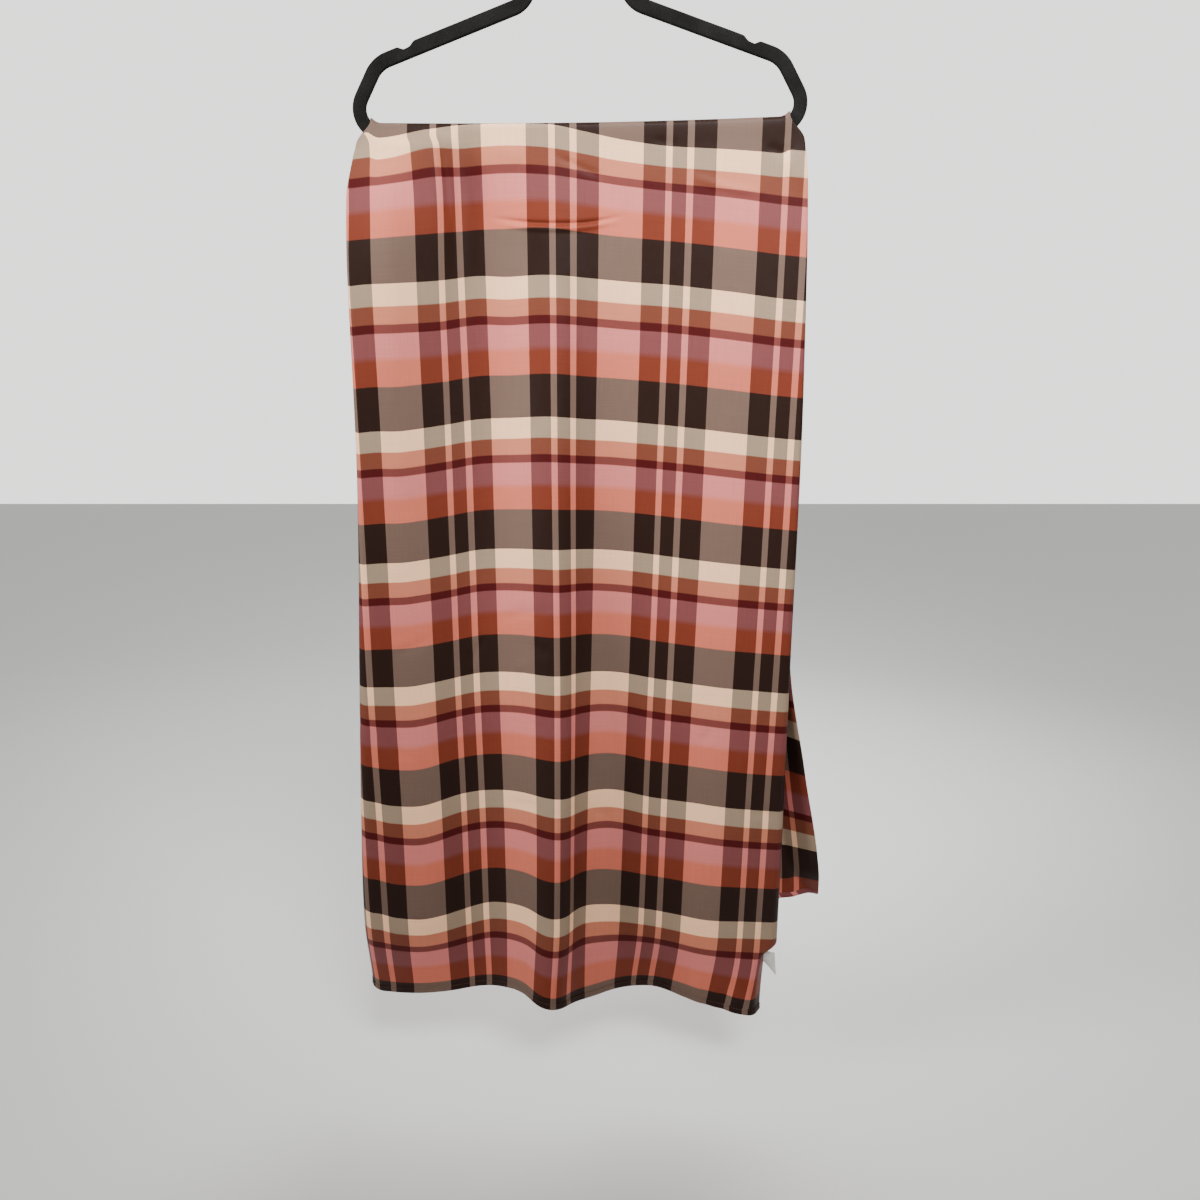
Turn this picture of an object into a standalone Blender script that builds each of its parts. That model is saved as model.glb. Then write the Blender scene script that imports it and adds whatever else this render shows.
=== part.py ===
"""A long woven scarf draped over the bar of a slim hanger.

The origin is the inside top of the hook, where a rail carries the hanger. X runs to the right, the front of the
scarf faces -Y and Z is up. The cloth is one long panel: it comes up the front, over the bar and down the back.
A strip along its left side is turned in, and its right edge is turned in at the bar and opens lower down.
Sizes are in metres and angles in degrees.
"""

import bisect
import math

import bmesh
import bpy
from mathutils import Vector

# Hanger: one flat strap bent into a closed loop, seen from the front.
STRAP_WIDTH = 0.0135
STRAP_THICKNESS = 0.005
STRAP_EDGE_ROUNDING = 0.0021
BAR_TOP_Z = -0.2341
# The bar gives a little in the middle under the cloth, and the whole hanger leans up to the right.
BAR_SAG = 0.0025
HANGER_TILT = 0.85
# Corners of the strap's centre line, right half, from the neck down: name, x, z, radius of the bend.
STRAP_CORNERS = (
    ("neck", 0.0320, -0.0865, 0.0270),
    ("neck_foot", 0.0530, -0.1277, 0.0250),
    ("shoulder_tip", 0.1971, -0.1779, 0.0300),
    ("bar_end", 0.2325, BAR_TOP_Z - STRAP_WIDTH / 2, 0.0220),
)
STRAP_BEND_STEPS = 7
BAR_STEPS = 5
# The arch over the neck is a solid of its own, and this far out it meets the shoulders.
NECK_END_X = 0.0950
# The lean carries the middle of the bar this far to the right of the hook.
BAR_SHIFT = -BAR_TOP_Z * math.sin(math.radians(HANGER_TILT))
# The small strap notch in the top of each shoulder: name, distance out from its middle, share of its depth.
NOTCH_X = 0.1660
NOTCH_DEPTH = 0.0038
NOTCH_PROFILE = (
    ("neck_lip", -0.0090, 0.0),
    ("neck_foot", -0.0020, 0.9),
    ("floor", 0.0030, 1.0),
    ("outer_lip", 0.0086, 0.0),
)

# Hook: round wire, with its inside top at the origin.
WIRE_RADIUS = 0.0019
HOOK_RADIUS = 0.0210
HOOK_FIRST_ANGLE = -38.0
HOOK_LAST_ANGLE = 206.0
SHANK_BEND_Z = -0.0610
SHANK_HANDLE = 0.0120
SHANK_STEPS = 8
HOOK_STEPS = 20

# Cloth: one panel, cut 0.66 wide and 1.878 long.
CLOTH_WIDTH = 0.660
FRONT_LENGTH = 0.969
BACK_LENGTH = 0.909
WALL = 0.001
GAP = 0.0003
SEAM_GAP = 0.0006

# The saddle over the bar. A turned-in layer lies on the bar, and the outer layer lies on that one.
BAR_HALF = STRAP_THICKNESS / 2
INNER_SADDLE = BAR_HALF + GAP + WALL / 2
OUTER_SADDLE = INNER_SADDLE + 0.002
SADDLE_LENGTH = math.pi / 2 * OUTER_SADDLE
SADDLE_Z = BAR_TOP_Z - BAR_SAG - BAR_HALF
STRAIGHT_BAR = 0.1959
BAR_END_BEND = STRAP_CORNERS[3][3] - STRAP_WIDTH / 2 - (OUTER_SADDLE - BAR_HALF)
STEEPEST_BEND = 0.85
SADDLE_SHAPE_DEPTH = 0.070

# The place across the cloth where each section is hung: the crown of the main fold.
CROWN = 0.374
# Levels down the drop at which the tables below give their values.
LEVELS = (0.0, 0.02, 0.07, 0.30, 0.57, 0.86, 0.97)
# Front: how the crown and the two side edges run, one value for each level.
FRONT_EDGES = {
    "crown_x": (-0.0320, -0.0320, -0.0320, -0.0320, -0.0310, -0.0330, -0.0380),
    "crown_y": (0.0, 0.0, -0.0005, -0.0040, -0.0160, -0.0420, -0.0540),
    "left_x": (-0.2060, -0.2235, -0.2355, -0.2370, -0.2455, -0.2565, -0.2570),
    "left_radius": (0.0010, 0.0010, 0.0020, 0.0042, 0.0090, 0.0140, 0.0160),
    "right_x": (0.2060, 0.2215, 0.2280, 0.2335, 0.2305, 0.2275, 0.2110),
    "right_radius": (0.0010, 0.0010, 0.0020, 0.0040, 0.0070, 0.0110, 0.0120),
    "right_turn": (180.0, 180.0, 176.0, 168.0, 130.0, 76.0, 60.0),
}
BACK_EDGES = {
    "crown_x": (-0.0320, -0.0320, -0.0320, -0.0320, -0.0290, 0.0020, 0.0060),
    "crown_y": (0.0, 0.0, 0.0030, 0.0100, 0.0120, 0.0180, 0.0190),
    "left_x": (-0.2060, -0.2235, -0.2355, -0.2375, -0.2420, -0.2470, -0.2480),
    "left_radius": (0.0010, 0.0010, 0.0018, 0.0030, 0.0050, 0.0080, 0.0090),
    "right_x": (0.2060, 0.2215, 0.2280, 0.2290, 0.2315, 0.2785, 0.2900),
    "right_radius": (0.0010, 0.0010, 0.0018, 0.0032, 0.0060, 0.0120, 0.0130),
    "right_turn": (180.0, 180.0, 176.0, 166.0, 82.0, 36.0, 30.0),
}
# Folds: the middle of each flank across the cloth, and how steeply it runs away from the front at each level.
FRONT_FLANKS = (
    ("left_edge", 0.150, (0, 0, 1, 4, 12, 4, -6)),
    ("left_rise", 0.200, (0, 0, 1, 6, 17, 12, -8)),
    ("left_hollow", 0.258, (0, 0, 0, 3, 13, 14, 2)),
    ("ridge_foot", 0.300, (0, 0, 0, -4, -10, -20, -34)),
    ("ridge_left", 0.346, (0, 0, -1, -10, -13, -36, -44)),
    ("ridge_crown", 0.382, (0, 0, 1, 8, 15, 34, 34)),
    ("ridge_right", 0.411, (0, 0, 2, 17, 49, 60, 48)),
    ("right_slope", 0.449, (0, 0, 0, 2, 6, 18, 38)),
    ("right_hollow", 0.492, (0, 0, -1, -4, -12, -6, 18)),
    ("right_rise", 0.550, (0, 0, 0, -4, -10, -14, -20)),
    ("right_swell", 0.600, (0, 0, 0, -1, -3, 2, -24)),
    ("right_edge", 0.650, (0, 0, 0, 2, 4, 6, 4)),
)
BACK_FLANKS = (
    ("left_edge", 0.150, (0, 0, 0, -6, -10, -14, -16)),
    ("left_rise", 0.215, (0, 0, 0, -5, -8, -10, -12)),
    ("middle_hollow", 0.300, (0, 0, 1, 10, 12, 10, 12)),
    ("middle_ridge", 0.360, (0, 0, -1, -12, -18, -20, -22)),
    ("middle_slope", 0.420, (0, 0, 2, 16, 22, 18, 20)),
    ("right_hollow", 0.480, (0, 0, -2, -15, -20, 4, 8)),
    ("right_rise", 0.550, (0, 0, 1, 12, 16, -10, -16)),
    ("right_edge", 0.640, (0, 0, 0, -4, -4, 12, 12)),
)
TURNED_IN_GAP = 0.0030
TURNED_IN_EASE = 1.2

# The weft bows: the cloth has slid forward over both ends of the bar, more at the right.
BOW_LIFT = 0.0085
BOW_LEFT_FROM = 0.330
BOW_LEFT_SLOPE = 0.109
BOW_RIGHT_FROM = 0.390
BOW_RIGHT_SLOPE = 0.096
BOW_SOFTNESS = 0.030
TURNED_IN_LIFT = 0.180
BACK_SKEW_FROM = 0.250
BACK_SKEW_TO = 0.580
BACK_SKEW = 0.0345

# Grid of the cloth: columns across each stretch, and rows down.
TURNED_IN_COLUMNS = 5
FOLD_COLUMNS = 5
# The face, from left to right: name, place across the cloth where the stretch ends, columns.
FACE_STRETCHES = (("left", 0.300, 8), ("ridge", 0.435, 9), ("right", CLOTH_WIDTH, 9))
RIGHT_FOLD_COLUMNS = 4
RIGHT_EDGE_COLUMNS = 2
SADDLE_ROWS = 4
DROP_ROWS = 21
ROW_SPREAD = 1.15
WALK_STEP = 0.003

# Care label: a short blank tape, sewn in behind the right edge of the front drop with one corner in view.
# Its corners: name, distance out from the edge, distance down from its top, distance behind the edge.
LABEL_TOP = 0.9085
LABEL_CORNERS = (
    ("top_inner", -0.0100, -0.0040, 0.0020),
    ("top_outer", 0.0065, 0.0000, 0.0030),
    ("tip", 0.0100, 0.0250, 0.0070),
    ("bottom_inner", -0.0100, 0.0060, 0.0040),
)
LABEL_INSET = 0.0100
LABEL_CELLS = 4

BLACK_FLOCK = (0.010, 0.010, 0.011)
STEEL = (0.62, 0.62, 0.64)
PLAID_MEAN = (0.38, 0.16, 0.12)
LABEL_WHITE = (0.86, 0.85, 0.82)


def clear_scene():
    for thing in list(bpy.data.objects):
        bpy.data.objects.remove(thing, do_unlink=True)


def new_collection(name):
    collection = bpy.data.collections.new(name)
    bpy.context.scene.collection.children.link(collection)
    return collection


def material(name, colour, roughness, metallic=0.0):
    finish = bpy.data.materials.new(name)
    finish.use_nodes = True
    shader = finish.node_tree.nodes["Principled BSDF"]
    shader.inputs["Base Color"].default_value = (*colour, 1.0)
    shader.inputs["Roughness"].default_value = roughness
    shader.inputs["Metallic"].default_value = metallic
    return finish


# ---------------------------------------------------------------- smooth values from the tables

def smooth_value(places, values, place):
    """A smooth curve through a table's values, level beyond its two ends."""
    if place <= places[0]:
        return values[0]
    if place >= places[-1]:
        return values[-1]
    k = bisect.bisect_left(places, place)
    span = places[k] - places[k - 1]
    step = (place - places[k - 1]) / span
    rise_before = table_slope(places, values, k - 1) * span
    rise_after = table_slope(places, values, k) * span
    square, cube = step ** 2, step ** 3
    return (values[k - 1] * (2 * cube - 3 * square + 1) + rise_before * (cube - 2 * square + step)
            + values[k] * (3 * square - 2 * cube) + rise_after * (cube - square))


def table_slope(places, values, k):
    """The curve's slope at one entry, flat at a peak, a hollow or an end, so that it never overshoots."""
    if k == 0 or k == len(places) - 1:
        return 0.0
    before = (values[k] - values[k - 1]) / (places[k] - places[k - 1])
    after = (values[k + 1] - values[k]) / (places[k + 1] - places[k])
    if before * after <= 0:
        return 0.0
    return 2 * before * after / (before + after)


def read_off(keys, values, key):
    """The value at a key, straight between the two nearest entries."""
    k = min(max(bisect.bisect_left(keys, key), 1), len(keys) - 1)
    part = (key - keys[k - 1]) / (keys[k] - keys[k - 1])
    return values[k - 1] + part * (values[k] - values[k - 1])


def soft_step(value):
    value = min(max(value, 0.0), 1.0)
    return value * value * (3 - 2 * value)


def soft_ramp(value):
    """Nothing below zero and the value itself above it, with a soft bend between."""
    return (math.hypot(value, BOW_SOFTNESS) + value) / 2


def bow(across, fold_place):
    """How much lower the cloth's crosswise threads lie here than at the crown."""
    seen = max(across, fold_place)
    left = BOW_LEFT_SLOPE * soft_ramp(BOW_LEFT_FROM - seen)
    right = BOW_RIGHT_SLOPE * soft_ramp(seen - BOW_RIGHT_FROM)
    return left + right - BOW_LIFT - TURNED_IN_LIFT * (seen - across)


def back_bow(across, fold_place):
    """The same threads behind: what came forward is missing there, and the panel hangs skewed to the right."""
    skew = BACK_SKEW * soft_step((across - BACK_SKEW_FROM) / (BACK_SKEW_TO - BACK_SKEW_FROM))
    return -bow(max(across, fold_place), fold_place) - skew - TURNED_IN_LIFT * max(0.0, fold_place - across)


# ---------------------------------------------------------------- a section across one drop

class Face:
    """The seen layer at one level: its place across the cloth, x and y, walked both ways from the crown.

    y is measured from the outer layer's place on the bar and grows towards the inside of the two drops.
    side is 1 for the front drop and -1 for the back drop.
    """

    def __init__(self, row, flanks, level, side):
        middles = [middle for _, middle, _ in flanks]
        angles = [math.radians(smooth_value(LEVELS, steepness, level)) for _, _, steepness in flanks]
        self.places, self.xs, self.ys = [CROWN], [row["crown_x"]], [side * row["crown_y"]]
        for stop in (0.0, CLOTH_WIDTH):
            place, x, y = CROWN, row["crown_x"], side * row["crown_y"]
            steps = round(abs(stop - CROWN) / WALK_STEP)
            step = (stop - CROWN) / steps
            for _ in range(steps):
                angle = smooth_value(middles, angles, place + step / 2)
                place += step
                x += step * math.cos(angle)
                y += step * math.sin(angle) * side
                self.places.append(place)
                self.xs.append(x)
                self.ys.append(y)
        order = sorted(range(len(self.places)), key=self.places.__getitem__)
        self.places = [self.places[k] for k in order]
        self.xs = [self.xs[k] for k in order]
        self.ys = [self.ys[k] for k in order]

    def point(self, place):
        return read_off(self.places, self.xs, place), read_off(self.places, self.ys, place)

    def place_at(self, x):
        return read_off(self.xs, self.places, x)

    def y_at(self, x):
        return read_off(self.xs, self.ys, x)


def right_fold_place(face, row):
    """Where the right edge starts to turn in, so that its outermost point falls on the table's line."""
    radius, turn = row["right_radius"], math.radians(row["right_turn"])
    for place, x in zip(face.places, face.xs):
        beyond = CLOTH_WIDTH - place - radius * turn
        reach = radius * math.sin(min(turn, math.pi / 2)) + max(0.0, beyond) * max(0.0, math.cos(turn))
        if place > CROWN and x + reach >= row["right_x"]:
            return place
    return CLOTH_WIDTH - radius


def turned_in_strip(face, row, fold_x, strip):
    """The hidden strip behind the left edge, following the face a little way inside it."""
    open_gap = 2 * row["left_radius"]
    inner_gap = min(TURNED_IN_GAP, open_gap)
    points = []
    for k in range(TURNED_IN_COLUMNS):
        part = k / TURNED_IN_COLUMNS
        x = fold_x + strip * (1 - part)
        gap = open_gap - (open_gap - inner_gap) * (1 - part) ** TURNED_IN_EASE
        points.append((strip * part, x, face.y_at(x) + gap))
    return points


def left_fold(row, strip, fold_x, fold_y):
    radius = row["left_radius"]
    points = []
    for k in range(FOLD_COLUMNS):
        angle = math.pi * k / FOLD_COLUMNS
        points.append((strip + radius * angle, fold_x - radius * math.sin(angle),
                       fold_y + radius * (1 + math.cos(angle))))
    return points


def right_edge(row, face_end, edge_x, edge_y):
    """The right fold, turned as far as the cloth's width allows, and what is left of it beyond."""
    radius = row["right_radius"]
    turn = min(math.radians(row["right_turn"]), (CLOTH_WIDTH - face_end) / radius)
    points = []
    for k in range(RIGHT_FOLD_COLUMNS + 1):
        angle = turn * k / RIGHT_FOLD_COLUMNS
        points.append((face_end + radius * angle, edge_x + radius * math.sin(angle),
                       edge_y + radius * (1 - math.cos(angle))))
    across, x, y = points[-1]
    rest = CLOTH_WIDTH - across
    for k in range(1, RIGHT_EDGE_COLUMNS + 1):
        beyond = rest * k / RIGHT_EDGE_COLUMNS
        points.append((across + beyond, x + beyond * math.cos(turn), y + beyond * math.sin(turn)))
    return points


def section(edges, flanks, level, side):
    """Points (across, x, y) from the turned-in left selvedge to the right one, and the left fold's place."""
    row = {name: smooth_value(LEVELS, values, level) for name, values in edges.items()}
    face = Face(row, flanks, level, side)
    fold_x = row["left_x"] + row["left_radius"]
    fold_place = face.place_at(fold_x)
    strip = fold_place - math.pi * row["left_radius"]
    face_end = right_fold_place(face, row)
    points = turned_in_strip(face, row, fold_x, strip)
    points += left_fold(row, strip, fold_x, face.y_at(fold_x))
    start = fold_place
    for _, end, columns in FACE_STRETCHES:
        stop = min(end, face_end)
        for k in range(columns):
            across = start + (stop - start) * k / columns
            points.append((across, *face.point(across)))
        start = stop
    points += right_edge(row, face_end, *face.point(face_end))
    return points, fold_place


def saddle_rise(out):
    """How much higher the bar's top is this far out than in its middle: its sag, its lean and its bent ends."""
    sag = BAR_SAG * (out / STRAIGHT_BAR) ** 2
    lean = math.tan(math.radians(HANGER_TILT)) * out
    past = min(max(0.0, abs(out) - STRAIGHT_BAR), STEEPEST_BEND * BAR_END_BEND)
    return sag + lean + BAR_END_BEND - math.sqrt(BAR_END_BEND ** 2 - past ** 2)


def saddle_rows(edges, flanks, side):
    """Rows of points over one half of the bar, from its top down to its side."""
    points, _ = section(edges, flanks, 0.0, side)
    rows = []
    for k in range(SADDLE_ROWS):
        lean = math.pi / 2 * k / SADDLE_ROWS
        row = []
        for _, x, y in points:
            radius = OUTER_SADDLE - y
            z = SADDLE_Z + radius * math.cos(lean) + saddle_rise(x)
            row.append((x + BAR_SHIFT, -side * radius * math.sin(lean), z))
        rows.append(row)
    return rows


def drop_rows(edges, flanks, side, length, lower_at):
    """Rows of points down one drop, from the bar's side to the hem."""
    rows = []
    for k in range(DROP_ROWS + 1):
        part = k / DROP_ROWS
        level = (length - SADDLE_LENGTH) * part ** ROW_SPREAD
        points, fold_place = section(edges, flanks, level, side)
        climb = 1 - soft_step(level / SADDLE_SHAPE_DEPTH)
        row = []
        for across, x, y in points:
            drop = level + part * lower_at(across, fold_place)
            row.append((x + BAR_SHIFT, side * (y - OUTER_SADDLE), SADDLE_Z - drop + climb * saddle_rise(x)))
        rows.append(row)
    return rows


# ---------------------------------------------------------------- the objects

def cloth_object(name, rows, finish, collection):
    """A grid moved onto the rows of points, with the cloth's wall grown evenly to both sides."""
    mesh = bpy.data.meshes.new(name)
    grid = bmesh.new()
    across, down = len(rows[0]) - 1, len(rows) - 1
    bmesh.ops.create_grid(grid, x_segments=across, y_segments=down, size=1.0)
    for corner in grid.verts:
        i = round((corner.co.x + 1) / 2 * across)
        j = round((1 - corner.co.y) / 2 * down)
        corner.co = rows[j][i]
    bmesh.ops.recalc_face_normals(grid, faces=grid.faces)
    grid.to_mesh(mesh)
    grid.free()
    mesh.shade_smooth()
    cloth = bpy.data.objects.new(name, mesh)
    cloth.data.materials.append(finish)
    collection.objects.link(cloth)
    wall = cloth.modifiers.new("wall", "SOLIDIFY")
    wall.thickness = WALL
    wall.offset = 0.0
    wall.use_even_offset = True
    return cloth


def make_scarf(collection, finish):
    """The front drop with the saddle over the bar, and the back drop that starts just below it."""
    saddle_behind = saddle_rows(BACK_EDGES, BACK_FLANKS, -1)
    saddle_before = saddle_rows(FRONT_EDGES, FRONT_FLANKS, 1)
    front = drop_rows(FRONT_EDGES, FRONT_FLANKS, 1, FRONT_LENGTH, bow)
    back = drop_rows(BACK_EDGES, BACK_FLANKS, -1, BACK_LENGTH, back_bow)
    over_bar = back[:1] + saddle_behind[:0:-1] + saddle_before
    cloth_object("scarf_front", over_bar + front, finish, collection)
    below_seam = [(x, y, z - SEAM_GAP) for x, y, z in back[0]]
    cloth_object("scarf_back", [below_seam] + back[1:], finish, collection)


def rounded_path(corners, steps):
    """Points along a line with each corner bent to its radius."""
    path = [corners[0][:2]]
    for k in range(1, len(corners) - 1):
        (x0, z0), (x1, z1), (x2, z2) = corners[k - 1][:2], corners[k][:2], corners[k + 1][:2]
        radius = corners[k][2]
        before = math.atan2(z1 - z0, x1 - x0)
        after = math.atan2(z2 - z1, x2 - x1)
        bend = (after - before + math.pi) % (2 * math.pi) - math.pi
        cut = radius * math.tan(abs(bend) / 2)
        x, z = x1 - cut * math.cos(before), z1 - cut * math.sin(before)
        path.append((x, z))
        heading = before
        for _ in range(steps):
            chord = 2 * radius * math.sin(abs(bend) / steps / 2)
            heading += bend / steps / 2
            x += chord * math.cos(heading)
            z += chord * math.sin(heading)
            heading += bend / steps / 2
            path.append((x, z))
    path.append(corners[-1][:2])
    return path


def strap_centre():
    """The strap's centre line, right half, from the top of the neck to the middle of the bar."""
    corners = [(0.0, STRAP_CORNERS[0][2])]
    corners += [corner[1:] for corner in STRAP_CORNERS]
    corners += [(0.0, STRAP_CORNERS[-1][2])]
    centre = rounded_path(corners, STRAP_BEND_STEPS)[:-1]
    bar_end_x, bar_end_z = centre[-1]
    for k in range(1, BAR_STEPS + 1):
        x = bar_end_x * (1 - k / BAR_STEPS)
        centre.append((x, bar_end_z - BAR_SAG * (1 - (x / bar_end_x) ** 2)))
    return centre


def cut_at_neck_end(centre):
    """The centre line in two: over the neck, and from the shoulder on. The cut lies on a straight run."""
    k = next(k for k, (x, _) in enumerate(centre) if x > NECK_END_X)
    before, after = Vector(centre[k - 1]), Vector(centre[k])
    along = (after - before).normalized()
    middle = before + along * ((NECK_END_X - before.x) / along.x)
    neck = centre[:k] + [tuple(middle - along * GAP / 2)]
    rest = [tuple(middle + along * GAP / 2)] + centre[k:]
    return neck, rest


def strap_outline(centre, offset):
    """The strap's edge at this distance outside a part of its centre line, right half."""
    half = []
    for k, (x, z) in enumerate(centre):
        ahead = centre[min(k + 1, len(centre) - 1)]
        behind = centre[max(k - 1, 0)]
        heading = math.atan2(ahead[1] - behind[1], ahead[0] - behind[0])
        if x == 0.0:
            heading = 0.0 if k == 0 else math.pi
        half.append((x - offset * math.sin(heading), z + offset * math.cos(heading)))
    return half


def with_notch(half):
    """The outer edge with the small strap notch cut in the top of its shoulder."""
    cut = []
    for (x0, z0), (x1, z1) in zip(half, half[1:]):
        cut.append((x0, z0))
        if x0 < NOTCH_X + NOTCH_PROFILE[0][1] and x1 > NOTCH_X + NOTCH_PROFILE[-1][1]:
            fall = (z1 - z0) / (x1 - x0)
            for _, out, depth in NOTCH_PROFILE:
                x = NOTCH_X + out
                cut.append((x, z0 + fall * (x - x0) - depth * NOTCH_DEPTH))
    cut.append(half[-1])
    return cut


def both_halves(half):
    """One edge of the strap from its left end to its right end. The half starts or ends in the middle."""
    from_middle = half if half[0][0] == 0.0 else half[::-1]
    mirrored = [(-x, z) for x, z in from_middle[:0:-1]]
    return mirrored + from_middle


def make_strap(name, outer, inner, collection, finish):
    """A flat strap between its outer and its inner edge, with rounded edges."""
    curve = bpy.data.curves.new(name, "CURVE")
    curve.dimensions = "2D"
    curve.fill_mode = "BOTH"
    curve.extrude = STRAP_THICKNESS / 2 - STRAP_EDGE_ROUNDING
    curve.bevel_depth = STRAP_EDGE_ROUNDING
    curve.bevel_resolution = 2
    curve.offset = -STRAP_EDGE_ROUNDING
    loop = both_halves(outer) + both_halves(inner)[::-1]
    spline = curve.splines.new("POLY")
    spline.points.add(len(loop) - 1)
    for point, (x, z) in zip(spline.points, loop):
        point.co = (x, z, 0.0, 1.0)
    spline.use_cyclic_u = True
    strap = bpy.data.objects.new(name, curve)
    strap.rotation_euler = (math.pi / 2, -math.radians(HANGER_TILT), 0.0)
    strap.data.materials.append(finish)
    collection.objects.link(strap)


def make_hanger(collection, finish):
    """The arch over the neck, and the shoulders with the bar."""
    neck, rest = cut_at_neck_end(strap_centre())
    half = STRAP_WIDTH / 2
    make_strap("hanger_neck", strap_outline(neck, half), strap_outline(neck, -half), collection, finish)
    make_strap("hanger_body", with_notch(strap_outline(rest, half)), strap_outline(rest, -half), collection, finish)


def hook_path():
    """The wire's centre line: straight out of the neck, a soft bend aside, and round over the rail."""
    centre_z = WIRE_RADIUS - HOOK_RADIUS
    neck_top = STRAP_CORNERS[0][2] + STRAP_WIDTH / 2
    first = math.radians(HOOK_FIRST_ANGLE)
    join = (HOOK_RADIUS * math.cos(first), centre_z + HOOK_RADIUS * math.sin(first))
    handle_in = (join[0] + SHANK_HANDLE * math.sin(first), join[1] - SHANK_HANDLE * math.cos(first))
    cage = ((0.0, SHANK_BEND_Z), (0.0, SHANK_BEND_Z + SHANK_HANDLE), handle_in, join)
    path = [(0.0, neck_top + GAP)]
    for k in range(SHANK_STEPS):
        part = k / SHANK_STEPS
        weights = ((1 - part) ** 3, 3 * part * (1 - part) ** 2, 3 * part ** 2 * (1 - part), part ** 3)
        path.append(tuple(sum(w * point[axis] for w, point in zip(weights, cage)) for axis in (0, 1)))
    for k in range(HOOK_STEPS + 1):
        angle = math.radians(HOOK_FIRST_ANGLE + (HOOK_LAST_ANGLE - HOOK_FIRST_ANGLE) * k / HOOK_STEPS)
        path.append((HOOK_RADIUS * math.cos(angle), centre_z + HOOK_RADIUS * math.sin(angle)))
    return path


def make_hook(collection, finish):
    curve = bpy.data.curves.new("hanger_hook", "CURVE")
    curve.dimensions = "3D"
    curve.bevel_depth = WIRE_RADIUS
    curve.bevel_resolution = 3
    curve.use_fill_caps = True
    path = hook_path()
    spline = curve.splines.new("POLY")
    spline.points.add(len(path) - 1)
    for point, (x, z) in zip(spline.points, path):
        point.co = (x, 0.0, z, 1.0)
    hook = bpy.data.objects.new("hanger_hook", curve)
    hook.rotation_euler = (0.0, -math.radians(HANGER_TILT), 0.0)
    hook.data.materials.append(finish)
    collection.objects.link(hook)


def make_label(collection, finish):
    """The tape behind the right edge of the front drop, spread evenly between its four corners."""
    points, _ = section(FRONT_EDGES, FRONT_FLANKS, LABEL_TOP, 1)
    edge_x = max(x for _, x, _ in points)
    edge_y = max(y for _, x, y in points if x > edge_x - LABEL_INSET) - OUTER_SADDLE + WALL + GAP
    corners = [(edge_x + BAR_SHIFT + out, edge_y + behind, SADDLE_Z - LABEL_TOP - down)
               for _, out, down, behind in LABEL_CORNERS]
    top_inner, top_outer, tip, bottom_inner = (Vector(corner) for corner in corners)
    rows = []
    for j in range(LABEL_CELLS + 1):
        inner = top_inner.lerp(bottom_inner, j / LABEL_CELLS)
        outer = top_outer.lerp(tip, j / LABEL_CELLS)
        rows.append([inner.lerp(outer, i / LABEL_CELLS) for i in range(LABEL_CELLS + 1)])
    cloth_object("care_label", rows, finish, collection)


def main():
    clear_scene()
    collection = new_collection("scarf_on_hanger")
    make_hanger(collection, material("black_flock", BLACK_FLOCK, 0.9))
    make_hook(collection, material("hook_steel", STEEL, 0.25, 1.0))
    make_scarf(collection, material("plaid_cloth", PLAID_MEAN, 0.75))
    make_label(collection, material("label_tape", LABEL_WHITE, 0.6))


main()
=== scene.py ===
# %% [markdown]
# # A long plaid scarf over the bar of a slim hanger
#
# The scarf is one long woven panel. It comes up the front, lies over the hanger's bar and goes down the back.
# The CAD frame gives the drape and the hanger at full size. This script dresses that frame: a fine cloth
# with its creases and its woven plaid, two turned hems with their stitches, a care label, the flocked
# hanger and its plated wire hook. Sizes are in metres, X runs to the right, -Y is the front and Z is up.

# %% Load the frame
import bisect
import math

import bmesh
import bpy
from mathutils import Matrix, Vector, noise


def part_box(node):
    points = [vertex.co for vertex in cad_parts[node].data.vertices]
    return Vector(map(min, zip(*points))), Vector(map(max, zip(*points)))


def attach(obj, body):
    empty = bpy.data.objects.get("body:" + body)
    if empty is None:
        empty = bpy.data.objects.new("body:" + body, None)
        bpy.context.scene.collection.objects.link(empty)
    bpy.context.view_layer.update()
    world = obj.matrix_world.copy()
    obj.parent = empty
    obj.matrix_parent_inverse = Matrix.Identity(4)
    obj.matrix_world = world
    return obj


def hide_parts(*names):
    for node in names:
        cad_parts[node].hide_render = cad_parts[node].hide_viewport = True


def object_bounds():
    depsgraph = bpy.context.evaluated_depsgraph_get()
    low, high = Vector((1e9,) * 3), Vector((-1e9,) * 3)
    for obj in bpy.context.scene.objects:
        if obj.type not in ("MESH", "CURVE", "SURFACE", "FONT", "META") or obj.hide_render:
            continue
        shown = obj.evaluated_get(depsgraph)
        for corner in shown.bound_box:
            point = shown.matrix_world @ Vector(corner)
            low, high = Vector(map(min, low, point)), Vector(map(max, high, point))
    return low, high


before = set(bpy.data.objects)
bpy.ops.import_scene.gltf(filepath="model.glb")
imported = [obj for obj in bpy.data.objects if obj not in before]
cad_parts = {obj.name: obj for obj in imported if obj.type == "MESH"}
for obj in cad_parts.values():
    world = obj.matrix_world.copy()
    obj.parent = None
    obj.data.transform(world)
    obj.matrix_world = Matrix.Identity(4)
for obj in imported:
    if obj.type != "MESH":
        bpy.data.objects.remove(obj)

cad_low, cad_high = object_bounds()
print("CAD box:", [round(v, 4) for v in cad_low], [round(v, 4) for v in cad_high])

# %% [markdown]
# ## The camera
#
# The picture was taken from about a metre away and a quarter of a metre below the bar, tilted down 12.5
# degrees. Its focal length is 950 pixels for a picture 1200 pixels wide, which is a 28.5 mm lens on a 36 mm
# sensor.
# A camera's own -Z axis looks forward, so a turn of 90 degrees about X makes it look along +Y.

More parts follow.
